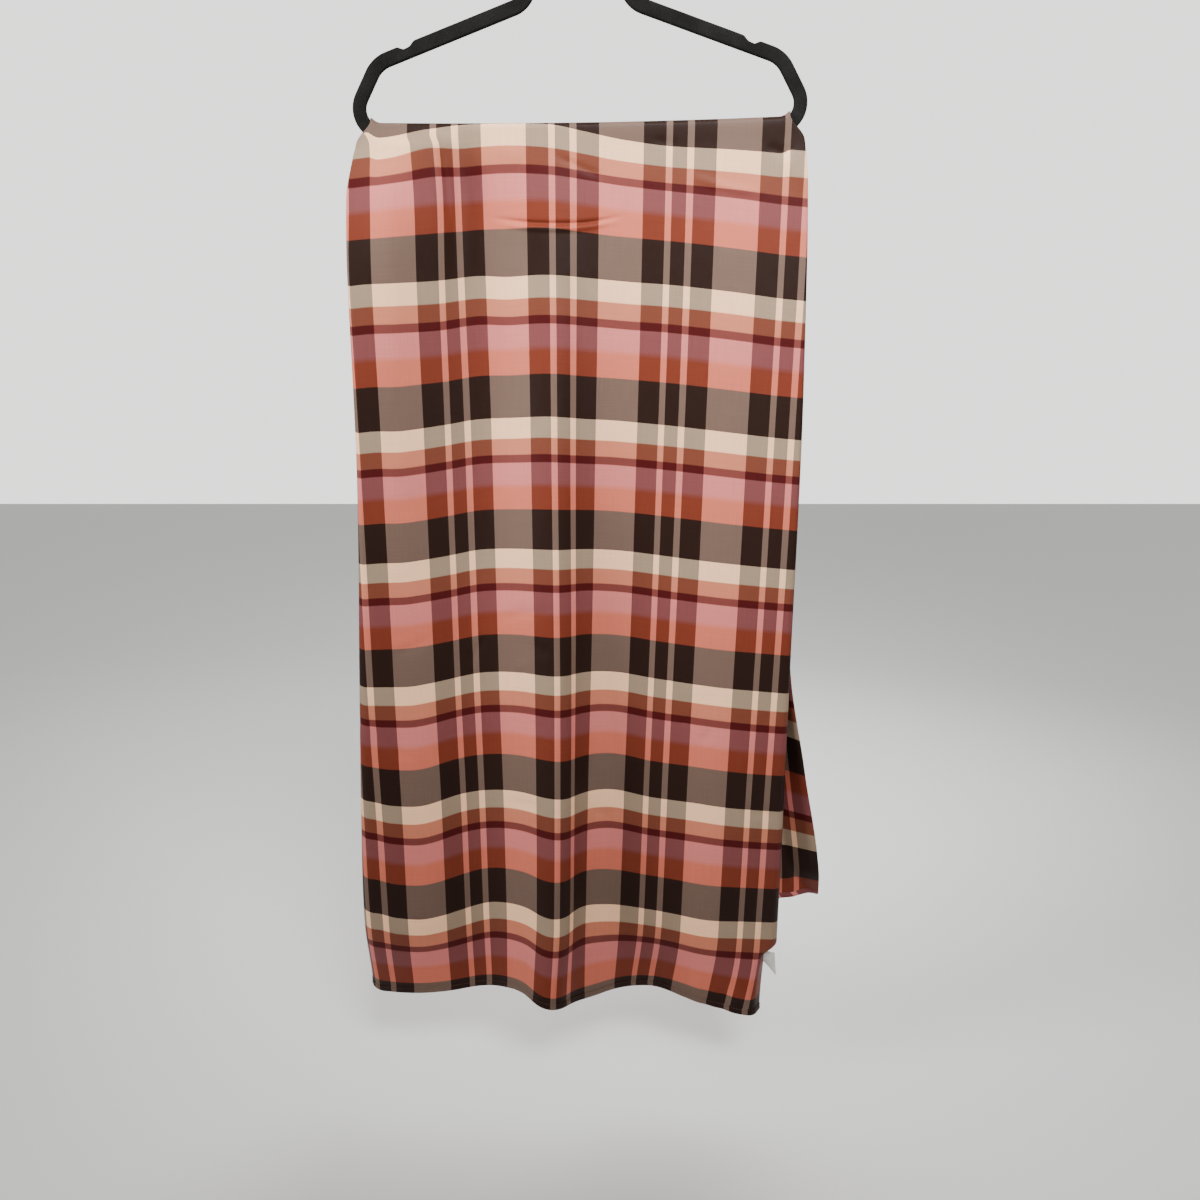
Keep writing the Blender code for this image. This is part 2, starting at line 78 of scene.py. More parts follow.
# %% Camera
PICTURE_WIDTH = 1200
FOCAL_PIXELS = 950
SENSOR_WIDTH = 36.0
CAMERA_PLACE = (0.0230, -1.0173, -0.4905)
CAMERA_PITCH_DOWN = 12.5

lens = bpy.data.cameras.new("photo_camera")
lens.sensor_width = SENSOR_WIDTH
lens.lens = FOCAL_PIXELS / PICTURE_WIDTH * SENSOR_WIDTH
lens.clip_start = 0.01
camera = bpy.data.objects.new("photo_camera", lens)
camera.location = CAMERA_PLACE
camera.rotation_euler = (math.radians(90 - CAMERA_PITCH_DOWN), 0.0, 0.0)
bpy.context.scene.collection.objects.link(camera)
bpy.context.scene.camera = camera
print("lens:", round(lens.lens, 2), "mm")

# %% [markdown]
# ## Floor and light
#
# The room is plain: a pale floor below the hem, and a world that is white behind the scarf and dimmer in
# front of it, like a studio with a lit back wall. One large soft lamp stands far out to the left and is aimed
# a little above the hook, so its light weakens towards the hem. Cloth shows its folds by how the light falls
# off across them, so this lamp nearly grazes the cloth, and the dim front keeps the far side of each fold in
# shade. A honeycomb grid on each lamp keeps its light off the floor. Two weaker lamps light the top from the
# front, and the back.

# %% Floor
# How far below the lowest point of the frame the floor lies.
FLOOR_DROP = 0.10
FLOOR_HALF = 6.0


def finish_with_nodes(name):
    """A new material, its node tree and its main shader."""
    finish = bpy.data.materials.new(name)
    finish.use_nodes = True
    return finish, finish.node_tree, finish.node_tree.nodes["Principled BSDF"]


def object_from(sheet, name, finish):
    """A finished mesh as an object in the scene, with its material."""
    mesh = bpy.data.meshes.new(name)
    sheet.to_mesh(mesh)
    sheet.free()
    mesh.shade_smooth()
    piece = bpy.data.objects.new(name, mesh)
    piece.data.materials.append(finish)
    bpy.context.scene.collection.objects.link(piece)
    return piece


pale, _, pale_shader = finish_with_nodes("pale_floor")
pale_shader.inputs["Base Color"].default_value = (0.86, 0.86, 0.85, 1.0)
pale_shader.inputs["Roughness"].default_value = 0.85
ground = bmesh.new()
bmesh.ops.create_grid(ground, x_segments=4, y_segments=4, size=FLOOR_HALF)
bmesh.ops.translate(ground, vec=(0.0, 0.0, cad_low[2] - FLOOR_DROP), verts=ground.verts)
floor = object_from(ground, "floor", pale)
print("floor at z =", round(cad_low[2] - FLOOR_DROP, 3))

# %% Light
WORLD_COLOUR = (1.0, 0.995, 0.985)
WORLD_IN_FRONT = 0.20
WORLD_BEHIND = 1.9
# Where the world turns from dim to bright, as the part of a direction that points along Y.
WORLD_TURN = (0.20, 0.75)
# Each lamp: name, place, the point that it faces, side length, power in watts, and the angle of the cone that
# its honeycomb grid lets through, in degrees.
LAMPS = (
    ("main_lamp", (-2.32, -0.85, 0.35), (0.0, 0.0, 0.05), 1.0, 19.5, 68.0),
    ("top_lamp", (0.40, -1.25, 0.70), (0.13, 0.0, -0.17), 0.8, 10.6, 58.0),
    ("back_lamp", (0.60, 1.60, 0.40), (0.0, 0.0, -0.60), 1.4, 14.0, 120.0),
)

world = bpy.data.worlds.new("pale_room")
world.use_nodes = True
world_tree = world.node_tree
sky = world_tree.nodes["Background"]
sky.inputs["Color"].default_value = (*WORLD_COLOUR, 1.0)
heading_node = world_tree.nodes.new("ShaderNodeTexCoord")
heading_parts = world_tree.nodes.new("ShaderNodeSeparateXYZ")
brightness = world_tree.nodes.new("ShaderNodeMapRange")
brightness.interpolation_type = "SMOOTHSTEP"
for socket_name, value in zip(("From Min", "From Max", "To Min", "To Max"),
                              (*WORLD_TURN, WORLD_IN_FRONT, WORLD_BEHIND)):
    brightness.inputs[socket_name].default_value = value
world_tree.links.new(heading_node.outputs["Generated"], heading_parts.inputs["Vector"])
world_tree.links.new(heading_parts.outputs["Y"], brightness.inputs["Value"])
world_tree.links.new(brightness.outputs["Result"], sky.inputs["Strength"])
bpy.context.scene.world = world

for lamp_name, lamp_place, aim, side, power, cone in LAMPS:
    light = bpy.data.lights.new(lamp_name, "AREA")
    light.shape = "SQUARE"
    light.size = side
    light.energy = power
    light.spread = math.radians(cone)
    lamp = bpy.data.objects.new(lamp_name, light)
    lamp.location = lamp_place
    heading = Vector(aim) - Vector(lamp_place)
    lamp.rotation_euler = heading.to_track_quat("-Z", "Y").to_euler()
    bpy.context.scene.collection.objects.link(lamp)
print("lamps:", len(LAMPS))

# %% [markdown]
# ## The bar that carries the cloth
#
# The cloth is shaped by what it hangs on, so the bar comes first. It sags a little in the middle under the
# cloth, the whole hanger leans up to the right, and its two ends bend up into the shoulders.

# %% The bar
BAR_TOP_Z = -0.2341
BAR_SAG = 0.0025
HANGER_TILT = 0.85
BAR_HALF = 0.0025
BAR_SHIFT = -BAR_TOP_Z * math.sin(math.radians(HANGER_TILT))
STRAIGHT_BAR = 0.1959
# Where the middle of the cloth's outer layer runs: its distance from the middle of the bar's rounded top.
OUTER_LAYER = 0.0053
SADDLE_Z = BAR_TOP_Z - BAR_SAG - BAR_HALF
SADDLE_LENGTH = math.pi / 2 * OUTER_LAYER
BAR_END_BEND = 0.0125
STEEPEST_BEND = 0.85
# How far down the drops the cloth still shows the bar's shape.
SADDLE_SHAPE_DEPTH = 0.070


def saddle_rise(out):
    """How much higher the bar's top is this far out than in its middle."""
    sag = BAR_SAG * (out / STRAIGHT_BAR) ** 2
    lean = math.tan(math.radians(HANGER_TILT)) * out
    past = min(max(0.0, abs(out) - STRAIGHT_BAR), STEEPEST_BEND * BAR_END_BEND)
    return sag + lean + BAR_END_BEND - math.sqrt(BAR_END_BEND ** 2 - past ** 2)


print("bar top in the middle:", round(SADDLE_Z + BAR_HALF, 4))

# %% [markdown]
# ## Smooth curves through small tables
#
# A drape could come from a cloth simulation, but this one has to match a real scarf fold by fold. It is
# modelled as a tailor would describe it: at a few levels down the drop, where each fold stands and how
# steep its flanks are. A smooth curve through such a table then gives every level between. The curve is a
# cubic that never overshoots, because a slope at a peak or a hollow is taken as level.

# %% Smooth values


def slopes(places, values):
    """The curve's slope at each entry of a table."""
    steps = [(b - a) / (q - p) for a, b, p, q in zip(values, values[1:], places, places[1:])]
    middle = [2 * a * b / (a + b) if a * b > 0 else 0.0 for a, b in zip(steps, steps[1:])]
    return [0.0, *middle, 0.0]


def smooth_curve(places, values):
    """A function that follows the table smoothly and stays level beyond its two ends."""
    lean = slopes(places, values)

    def value_at(place):
        if place <= places[0]:
            return values[0]
        if place >= places[-1]:
            return values[-1]
        k = bisect.bisect_left(places, place)
        span = places[k] - places[k - 1]
        step = (place - places[k - 1]) / span
        square, cube = step ** 2, step ** 3
        return (values[k - 1] * (2 * cube - 3 * square + 1) + lean[k - 1] * span * (cube - 2 * square + step)
                + values[k] * (3 * square - 2 * cube) + lean[k] * span * (cube - square))

    return value_at


def soft_step(value):
    """Rises smoothly from 0 to 1 as the value does."""
    value = min(max(value, 0.0), 1.0)
    return value * value * (3 - 2 * value)


print("a smooth step at a quarter:", soft_step(0.25))

# %% [markdown]
# ## The folds of the two drops
#
# Each row of a table below is one edge of the cloth or one flank of a fold, and each number in the row is
# its value at one level down the drop. A flank is placed by how far across the cloth it lies, and its angle
# says how steeply it runs away from the front. On the bar all angles are nearly flat. Towards the hem the
# folds stand out, most of all the ridge left of the middle.

# %% Levels and edges
CLOTH_WIDTH = 0.660
FRONT_LENGTH = 0.969
BACK_LENGTH = 0.909
CROWN = 0.374
LEVELS = (0.0, 0.02, 0.07, 0.16, 0.30, 0.57, 0.72, 0.86, 0.97)
FRONT_EDGES = {
    "crown_x": (-0.0320, -0.0320, -0.0320, -0.0320, -0.0320, -0.0310, -0.0315, -0.0330, -0.0380),
    "crown_y": (0.0, -0.0004, -0.0012, -0.0030, -0.0065, -0.0185, -0.0310, -0.0430, -0.0540),
    "left_x": (-0.2060, -0.2215, -0.2315, -0.2325, -0.2340, -0.2455, -0.2520, -0.2565, -0.2570),
    "left_radius": (0.0010, 0.0010, 0.0020, 0.0030, 0.0042, 0.0090, 0.0118, 0.0140, 0.0160),
    "right_x": (0.2060, 0.2215, 0.2280, 0.2310, 0.2335, 0.2305, 0.2300, 0.2288, 0.2205),
    "right_radius": (0.0010, 0.0010, 0.0020, 0.0028, 0.0040, 0.0070, 0.0090, 0.0110, 0.0120),
    "right_turn": (180.0, 180.0, 176.0, 172.0, 168.0, 130.0, 102.0, 76.0, 60.0),
}
BACK_EDGES = {
    "crown_x": (-0.0320, -0.0320, -0.0320, -0.0320, -0.0320, -0.0290, -0.0130, 0.0020, 0.0060),
    "crown_y": (0.0, 0.0, 0.0030, 0.0062, 0.0100, 0.0120, 0.0150, 0.0180, 0.0190),
    "left_x": (-0.2060, -0.2235, -0.2355, -0.2370, -0.2375, -0.2420, -0.2448, -0.2470, -0.2480),
    "left_radius": (0.0010, 0.0010, 0.0018, 0.0024, 0.0030, 0.0050, 0.0065, 0.0080, 0.0090),
    "right_x": (0.2060, 0.2215, 0.2280, 0.2286, 0.2290, 0.2315, 0.2540, 0.2785, 0.2900),
    "right_radius": (0.0010, 0.0010, 0.0018, 0.0024, 0.0032, 0.0060, 0.0090, 0.0120, 0.0130),
    "right_turn": (180.0, 180.0, 176.0, 172.0, 166.0, 82.0, 56.0, 36.0, 30.0),
}
print("levels:", len(LEVELS))

# %% Flanks of the folds, with their angles in degrees
FRONT_FLANKS = (
    ("left_edge", 0.160, (0, -8, -6, -2, 2, 4, 0, -4, -14)),
    ("gather_dip", 0.199, (0, -20, -14, 2, 8, 9, 8, 4, -2)),
    ("gather_rise", 0.226, (0, -14, 6, 18, 20, 14, 14, 12, 0)),
    ("gather_crest", 0.250, (0, 0, 8, 16, 18, 20, 20, 18, 6)),
    ("gather_back", 0.270, (0, 42, 48, 34, 22, 10, 8, 6, -6)),
    ("ridge_foot", 0.303, (0, -4, -8, -8, -9, -12, -15, -20, -34)),
    ("ridge_left", 0.346, (0, 0, -4, -11, -19, -24, -33, -39, -46)),
    ("ridge_top", 0.371, (0, 0, -1, -3, -8, -10, -14, -16, -12)),
    ("ridge_crown", 0.384, (0, 1, 3, 10, 18, 24, 26, 28, 30)),
    ("ridge_right", 0.398, (0, 3, 10, 20, 33, 50, 57, 58, 50)),
    ("ridge_end", 0.418, (0, 2, 3, 6, 14, 36, 44, 48, 40)),
    ("right_slope", 0.449, (0, 0, 0, 1, 2, 6, 12, 18, 38)),
    ("right_hollow", 0.492, (0, 0, -1, -2, -4, -12, -10, -6, 18)),
    ("right_rise", 0.550, (0, 0, 0, -2, -4, -10, -12, -14, -20)),
    ("right_swell", 0.600, (0, 0, 0, 0, -1, -3, -1, 2, -24)),
    ("right_edge", 0.650, (0, 0, 0, 1, 2, 4, 5, 6, 4)),
)
BACK_FLANKS = (
    ("left_edge", 0.150, (0, 0, 0, -3, -6, -10, -12, -14, -16)),
    ("left_rise", 0.215, (0, 0, 0, -2, -5, -8, -9, -10, -12)),
    ("middle_hollow", 0.300, (0, 0, 1, 5, 10, 12, 11, 10, 12)),
    ("middle_ridge", 0.360, (0, 0, -1, -6, -12, -18, -19, -20, -22)),
    ("middle_slope", 0.420, (0, 0, 2, 9, 16, 22, 20, 18, 20)),
    ("right_hollow", 0.480, (0, 0, -2, -8, -15, -20, -6, 4, 8)),
    ("right_rise", 0.550, (0, 0, 1, 6, 12, 16, 4, -10, -16)),
    ("right_edge", 0.640, (0, 0, 0, -2, -4, -4, 6, 12, 12)),
)
print("flanks:", len(FRONT_FLANKS), "in front,", len(BACK_FLANKS), "behind")

# %% [markdown]
# ## One section across a drop
#
# A section is walked from the crown to both sides in short steps, each step turned by the flank angle
# there. That keeps the cloth's own width: a folded stretch comes out narrower, as real cloth does. At the
# left edge the cloth turns through half a circle and a strip of it lies behind the face. At the right edge
# it turns as far as the table says.

# %% Walk a section
WALK_STEP = 0.0015
TURNED_IN_GAP = 0.0030
TURNED_IN_EASE = 1.2
TURNED_IN_COLUMNS = 18
LEFT_FOLD_COLUMNS = 10
# The face, from left to right: name, place across the cloth where the stretch ends, columns.
FACE_STRETCHES = (("left", 0.300, 44), ("ridge", 0.435, 48), ("right", CLOTH_WIDTH, 58))
RIGHT_FOLD_COLUMNS = 8
RIGHT_EDGE_COLUMNS = 3
# The front's right edge is drawn in by this much between these levels, where the label is sewn in.
SELVEDGE_STEP = 0.0100
SELVEDGE_STEP_FROM = 0.874
SELVEDGE_STEP_TO = 0.891


def read_off(keys, values, key):
    """The value at a key, straight between the two nearest entries."""
    k = min(max(bisect.bisect_left(keys, key), 1), len(keys) - 1)
    part = (key - keys[k - 1]) / (keys[k] - keys[k - 1])
    return values[k - 1] + part * (values[k] - values[k - 1])


class Drop:
    """The tables of one drop as smooth curves. side is 1 for the front drop and -1 for the back one."""

    def __init__(self, edges, flanks, side):
        self.edges = {name: smooth_curve(LEVELS, values) for name, values in edges.items()}
        self.middles = [middle for _, middle, _ in flanks]
        self.angles = [smooth_curve(LEVELS, angles) for _, _, angles in flanks]
        self.side = side

    def row(self, level):
        """The values of the edge table at one level."""
        values = {name: curve(level) for name, curve in self.edges.items()}
        if self.side > 0:
            part = (level - SELVEDGE_STEP_FROM) / (SELVEDGE_STEP_TO - SELVEDGE_STEP_FROM)
            values["right_x"] -= SELVEDGE_STEP * soft_step(part)
        return values

    def face(self, row, level):
        """Places across the cloth with their x and y. y grows towards the inside of the two drops."""
        steepness = smooth_curve(self.middles, [math.radians(curve(level)) for curve in self.angles])
        walked = [(CROWN, row["crown_x"], self.side * row["crown_y"])]
        for stop in (0.0, CLOTH_WIDTH):
            place, x, y = walked[0] if stop == 0.0 else (CROWN, row["crown_x"], self.side * row["crown_y"])
            steps = round(abs(stop - CROWN) / WALK_STEP)
            step = (stop - CROWN) / steps
            arm = []
            for _ in range(steps):
                angle = steepness(place + step / 2)
                place += step
                x += step * math.cos(angle)
                y += step * math.sin(angle) * self.side
                arm.append((place, x, y))
            walked = arm[::-1] + walked if stop == 0.0 else walked + arm
        return [list(column) for column in zip(*walked)]


def right_fold_place(places, xs, row):
    """Where the right edge starts to turn in, so that its outermost point falls on the table's line."""
    radius, turn = row["right_radius"], math.radians(row["right_turn"])
    for k in range(1, len(places)):
        if places[k] <= CROWN:
            continue
        reach = []
        for j in (k - 1, k):
            beyond = CLOTH_WIDTH - places[j] - radius * turn
            reach.append(xs[j] + radius * math.sin(min(turn, math.pi / 2))
                         + max(0.0, beyond) * max(0.0, math.cos(turn)))
        if reach[1] >= row["right_x"]:
            part = (row["right_x"] - reach[0]) / (reach[1] - reach[0])
            return places[k - 1] + min(max(part, 0.0), 1.0) * (places[k] - places[k - 1])
    return CLOTH_WIDTH - radius


print("columns:", TURNED_IN_COLUMNS + LEFT_FOLD_COLUMNS + sum(c for _, _, c in FACE_STRETCHES))

# %% Join the strip, the fold, the face and the right edge


def left_edge(row, face, fold_x, strip):
    """The hidden strip and the half circle at the left.

    Each point is its place across, x, y, and the place of the face there.
    """
    places, xs, ys = face
    open_gap = 2 * row["left_radius"]
    inner_gap = min(TURNED_IN_GAP, open_gap)
    points = []
    for k in range(TURNED_IN_COLUMNS):
        part = k / TURNED_IN_COLUMNS
        x = fold_x + strip * (1 - part)
        gap = open_gap - (open_gap - inner_gap) * (1 - part) ** TURNED_IN_EASE
        points.append((strip * part, x, read_off(xs, ys, x) + gap, read_off(xs, places, x)))
    fold_place, fold_y = read_off(xs, places, fold_x), read_off(xs, ys, fold_x)
    for k in range(LEFT_FOLD_COLUMNS):
        angle = math.pi * k / LEFT_FOLD_COLUMNS
        radius = row["left_radius"]
        points.append((strip + radius * angle, fold_x - radius * math.sin(angle),
                       fold_y + radius * (1 + math.cos(angle)), fold_place))
    return points


def right_edge(row, face_end, x, y):
    """The right fold, turned as far as the cloth's width allows, and what is left of it beyond."""
    radius = row["right_radius"]
    turn = min(math.radians(row["right_turn"]), (CLOTH_WIDTH - face_end) / radius)
    points = []
    for k in range(RIGHT_FOLD_COLUMNS + 1):
        angle = turn * k / RIGHT_FOLD_COLUMNS
        points.append((face_end + radius * angle, x + radius * math.sin(angle),
                       y + radius * (1 - math.cos(angle)), face_end))
    across, x, y, _ = points[-1]
    rest = CLOTH_WIDTH - across
    for k in range(1, RIGHT_EDGE_COLUMNS + 1):
        beyond = rest * k / RIGHT_EDGE_COLUMNS
        points.append((across + beyond, x + beyond * math.cos(turn), y + beyond * math.sin(turn), face_end))
    return points


def section(drop, level):
    """Points (across, x, y, place of the face there) from the hidden selvedge to the right one."""
    row = drop.row(level)
    places, xs, ys = face = drop.face(row, level)
    fold_x = row["left_x"] + row["left_radius"]
    fold_place = read_off(xs, places, fold_x)
    strip = fold_place - math.pi * row["left_radius"]
    face_end = right_fold_place(places, xs, row)
    points = left_edge(row, face, fold_x, strip)
    start = fold_place
    for _, end, columns in FACE_STRETCHES:
        stop = min(end, face_end)
        for k in range(columns):
            across = start + (stop - start) * k / columns
            points.append((across, read_off(places, xs, across), read_off(places, ys, across), across))
        start = stop
    points += right_edge(row, face_end, read_off(places, xs, face_end), read_off(places, ys, face_end))
    return points, fold_place


front_drop = Drop(FRONT_EDGES, FRONT_FLANKS, 1)
back_drop = Drop(BACK_EDGES, BACK_FLANKS, -1)
low_section, low_fold = section(front_drop, LEVELS[-1])
print("points across:", len(low_section), " left fold at the lowest level:", round(low_fold, 4))

# %% [markdown]
# ## The bow of the weft
#
# The crosswise threads don't hang level. The cloth has slid forward over both ends of the bar, so each
# thread hangs lower at the sides, and more so at the right. What came forward is missing behind. The UV map
# stores each point's place in the flat cloth, across and along, so the woven plaid bows with the threads.

# %% Bow
BOW_LIFT = 0.0085
BOW_LEFT_FROM = 0.330
BOW_LEFT_SLOPE = 0.109
BOW_RIGHT_FROM = 0.390
BOW_RIGHT_SLOPE = 0.096
BOW_SOFTNESS = 0.030
TURNED_IN_LIFT = 0.180
BACK_SKEW_FROM = 0.250
BACK_SKEW_TO = 0.580
BACK_SKEW = 0.0345


def soft_ramp(value):
    """Nothing below zero and the value itself above it, with a soft bend between."""
    return (math.hypot(value, BOW_SOFTNESS) + value) / 2


def bow(across, fold_place):
    """How much lower the crosswise threads lie here than at the crown, in front."""
    seen = max(across, fold_place)
    left = BOW_LEFT_SLOPE * soft_ramp(BOW_LEFT_FROM - seen)
    right = BOW_RIGHT_SLOPE * soft_ramp(seen - BOW_RIGHT_FROM)
    return left + right - BOW_LIFT - TURNED_IN_LIFT * (seen - across)


# The cloth's own small creases shift the weft a little more. Each row is a place across the cloth, and how
# much lower the threads lie there at each level, in millimetres.
WEFT_SHIFT = (
    ("left_edge", 0.150, (0, 0, 0, 0, 4, -4, -12, -13, -7)),
    ("left", 0.180, (2, 1, 1, 0, 4, -1, -3, -4, -6)),
    ("gather", 0.215, (6, 3, 2, 2, 7, 3, 3, 2, -4)),
    ("gather_end", 0.255, (0, -1, 1, 3, 6, 2, -1, 0, -5)),
    ("ridge_foot", 0.295, (-1, -1, 0, 1, 4, 0, -2, -5, -8)),
    ("ridge_left", 0.335, (0, 0, 1, 5, 5, 0, -2, -5, -12)),
    ("ridge_crown", 0.370, (2, 2, 2, 4, 4, 1, -1, -1, -6)),
    ("ridge_right", 0.410, (8, 7, 4, 4, 5, 1, 1, -3, -3)),
    ("right_slope", 0.450, (14, 12, 6, 4, 4, 1, 0, 1, 0)),
    ("right_hollow", 0.500, (18, 15, 7, 3, 4, 3, 4, 3, 0)),
    ("right_rise", 0.560, (16, 14, 8, 4, 5, 3, 2, 3, 0)),
    ("right_edge", 0.620, (16, 14, 10, 6, 6, 2, 2, 0, 0)),
)
MILLIMETRE = 0.001
shift_places = [place for _, place, _ in WEFT_SHIFT]
shift_curves = [smooth_curve(LEVELS, [MILLIMETRE * low for low in lows]) for _, _, lows in WEFT_SHIFT]


def weft_shift(level):
    """The extra shift at one level, as a curve across the cloth."""
    return smooth_curve(shift_places, [curve(level) for curve in shift_curves])


# The front panel is cut this much shorter left of HEM_STEP_FROM, and no shorter right of HEM_STEP_TO.
HEM_STEP = 0.005
HEM_STEP_FROM = 0.515
HEM_STEP_TO = 0.565


def hem_bow_front(across, fold_place):
    """How much lower the front hem lies here. It follows the threads, less where the panel is cut shorter."""
    seen = max(across, fold_place)
    step = HEM_STEP * (1 - soft_step((seen - HEM_STEP_FROM) / (HEM_STEP_TO - HEM_STEP_FROM)))
    return bow(across, fold_place) + weft_shift(FRONT_LENGTH)(seen) - step


def hem_bow_behind(across, fold_place):
    """How much lower the back hem lies here: what came forward is missing, and the panel hangs skewed."""
    skew = BACK_SKEW * soft_step((across - BACK_SKEW_FROM) / (BACK_SKEW_TO - BACK_SKEW_FROM))
    return -bow(max(across, fold_place), fold_place) - skew - TURNED_IN_LIFT * max(0.0, fold_place - across)


print("bow at the right edge:", round(bow(0.63, 0.16), 4))

# %% [markdown]
# ## Creases
#
# Folds run down the whole drop, but creases are short: they come from how the scarf was packed and handled.
# Each one is a soft trough or ridge along a bent line. It is listed below, fades out towards its ends, and
# moves the cloth straight towards or away from the viewer, so the turned-in strip behind keeps its distance.
# The back hangs in creases of the same kind. A faint unevenness, the same in each run, does the rest.

# %% Creases
# Each crease: name, start and end as (place across, level), how far its middle hangs below the straight line,
# half its width, and how far it rises towards the viewer. The last three are in millimetres.
FRONT_CREASES = (
    ("smile", (0.309, 0.083), (0.455, 0.080), 9.0, 1.9, -2.3),
    ("smile_rim", (0.312, 0.0890), (0.450, 0.0850), 9.0, 2.4, 1.7),
    ("upper_smile", (0.376, 0.023), (0.434, 0.046), 1.5, 2.6, -1.8),
    ("pucker", (0.265, 0.016), (0.271, 0.092), -1.0, 3.0, -1.9),
    ("corner_dent", (0.588, 0.020), (0.616, 0.030), 0.0, 4.0, -1.4),
    ("corner_swell", (0.604, 0.030), (0.640, 0.060), -3.0, 8.0, 1.5),
    ("mauve_fold", (0.508, 0.042), (0.592, 0.060), 3.0, 2.8, 1.3),
    ("bar_dent", (0.476, 0.012), (0.504, 0.018), 0.0, 4.0, -0.9),
    ("bar_swell", (0.318, 0.016), (0.352, 0.030), 0.0, 7.0, 0.9),
    ("middle_left", (0.306, 0.509), (0.377, 0.494), 0.0, 3.0, -1.9),
    ("left_low", (0.190, 0.537), (0.234, 0.523), 0.0, 4.0, -1.3),
    ("diagonal", (0.326, 0.568), (0.347, 0.557), 0.0, 3.0, 1.3),
    ("dent", (0.349, 0.535), (0.370, 0.545), 0.0, 5.0, -1.6),
    ("right_low", (0.531, 0.623), (0.543, 0.606), 0.0, 4.0, -1.3),
    ("right_lower", (0.551, 0.637), (0.569, 0.618), 0.0, 4.0, -1.3),
    ("ridge_low", (0.308, 0.728), (0.362, 0.725), 0.0, 4.0, -1.5),
    ("flank_low", (0.412, 0.723), (0.462, 0.744), 0.0, 4.5, -1.7),
    ("left_wrinkle", (0.148, 0.596), (0.207, 0.662), 4.0, 5.0, -1.6),
    ("right_wrinkle", (0.592, 0.709), (0.668, 0.716), 0.0, 4.5, -1.4),
    ("left_middle", (0.272, 0.558), (0.297, 0.526), 0.0, 4.0, -1.3),
    ("hem_curl_first", (0.566, 0.905), (0.577, 0.985), 0.0, 9.0, 1.8),
    ("hem_curl_middle", (0.604, 0.915), (0.608, 0.985), 0.0, 8.0, -2.2),
    ("hem_curl_last", (0.642, 0.900), (0.648, 0.985), 0.0, 7.0, 2.0),
)
BACK_CREASES = (
    ("smile", (0.230, 0.078), (0.372, 0.086), 8.0, 2.8, -1.6),
    ("upper_smile", (0.300, 0.028), (0.352, 0.042), 2.0, 3.0, -1.2),
    ("pleat_left", (0.214, 0.012), (0.222, 0.150), 1.0, 7.0, 1.8),
    ("pleat_left_dip", (0.236, 0.014), (0.244, 0.120), 1.0, 5.0, -1.5),
    ("pleat_middle", (0.402, 0.014), (0.398, 0.120), -1.0, 8.0, 1.4),
    ("pleat_right", (0.545, 0.012), (0.552, 0.170), 2.0, 8.0, 1.7),
    ("pleat_right_dip", (0.572, 0.014), (0.577, 0.130), 1.0, 5.0, -1.4),
    ("middle_left", (0.262, 0.455), (0.338, 0.468), 2.0, 3.2, -1.8),
    ("middle_right", (0.505, 0.488), (0.560, 0.474), 3.0, 3.6, -1.5),
    ("dent", (0.428, 0.522), (0.446, 0.514), 0.0, 5.0, -1.5),
    ("left_low", (0.176, 0.602), (0.228, 0.646), 3.0, 5.0, -1.5),
    ("ridge_low", (0.338, 0.665), (0.398, 0.655), 0.0, 4.0, -1.5),
    ("right_low", (0.556, 0.690), (0.622, 0.708), 2.0, 4.5, -1.5),
    ("diagonal", (0.468, 0.742), (0.492, 0.722), 0.0, 3.4, 1.3),
    ("hem_curl_left", (0.196, 0.845), (0.190, 0.925), 0.0, 9.0, 1.9),
    ("hem_curl_right", (0.618, 0.840), (0.630, 0.925), 0.0, 8.0, -2.0),
)
# The part of its length over which a crease fades out at each end, and how many half widths it reaches.
CREASE_FADE = 0.30
CREASE_REACH = 2.6
# The faint unevenness: how many waves to the metre across and down, its height in millimetres, and the level
# by which it has come in below the bar. The back takes its waves from another part of the same noise.
WAVES_ACROSS = 26.0
WAVES_DOWN = 15.0
WAVE_HEIGHT = 0.45
WAVES_FULL_LEVEL = 0.060
WAVES_APART = 7.0


def crease_rise(creases, across, level):
    """How far the creases move the cloth towards the viewer here, in metres."""
    rise = 0.0
    for _, (start_across, start_level), (end_across, end_level), sag, half_width, height in creases:
        run, fall = end_across - start_across, end_level - start_level
        length = math.hypot(run, fall)
        part = ((across - start_across) * run + (level - start_level) * fall) / length ** 2
        if not 0.0 < part < 1.0:
            continue
        below = ((level - start_level) * run - (across - start_across) * fall) / length
        off = (below / MILLIMETRE - 4 * sag * part * (1 - part)) / half_width
        if abs(off) < CREASE_REACH:
            fade = soft_step(part / CREASE_FADE) * soft_step((1 - part) / CREASE_FADE)
            rise += MILLIMETRE * height * fade * math.exp(-off * off)
    return rise


def relief(drop, across, level):
    """Creases and faint waves together."""
    creases = FRONT_CREASES if drop.side > 0 else BACK_CREASES
    spot = Vector((across * WAVES_ACROSS, level * WAVES_DOWN, WAVES_APART * drop.side))
    waves = MILLIMETRE * WAVE_HEIGHT * noise.noise(spot) * soft_step(level / WAVES_FULL_LEVEL)
    return crease_rise(creases, across, level) + waves


print("creases:", len(FRONT_CREASES), "in front,", len(BACK_CREASES), "behind")

# %% Rows over the bar and down each drop
SADDLE_ROWS = 8
# Rows down a drop: name, level where the stretch ends as a part of the drop, rows.
FRONT_STRETCHES = (("top", 0.078, 30), ("smile", 0.112, 26), ("body", 0.90, 150), ("hem", 1.0, 26))
BACK_STRETCHES = (("top", 0.078, 24), ("smile", 0.112, 20), ("body", 0.92, 148), ("hem", 1.0, 20))
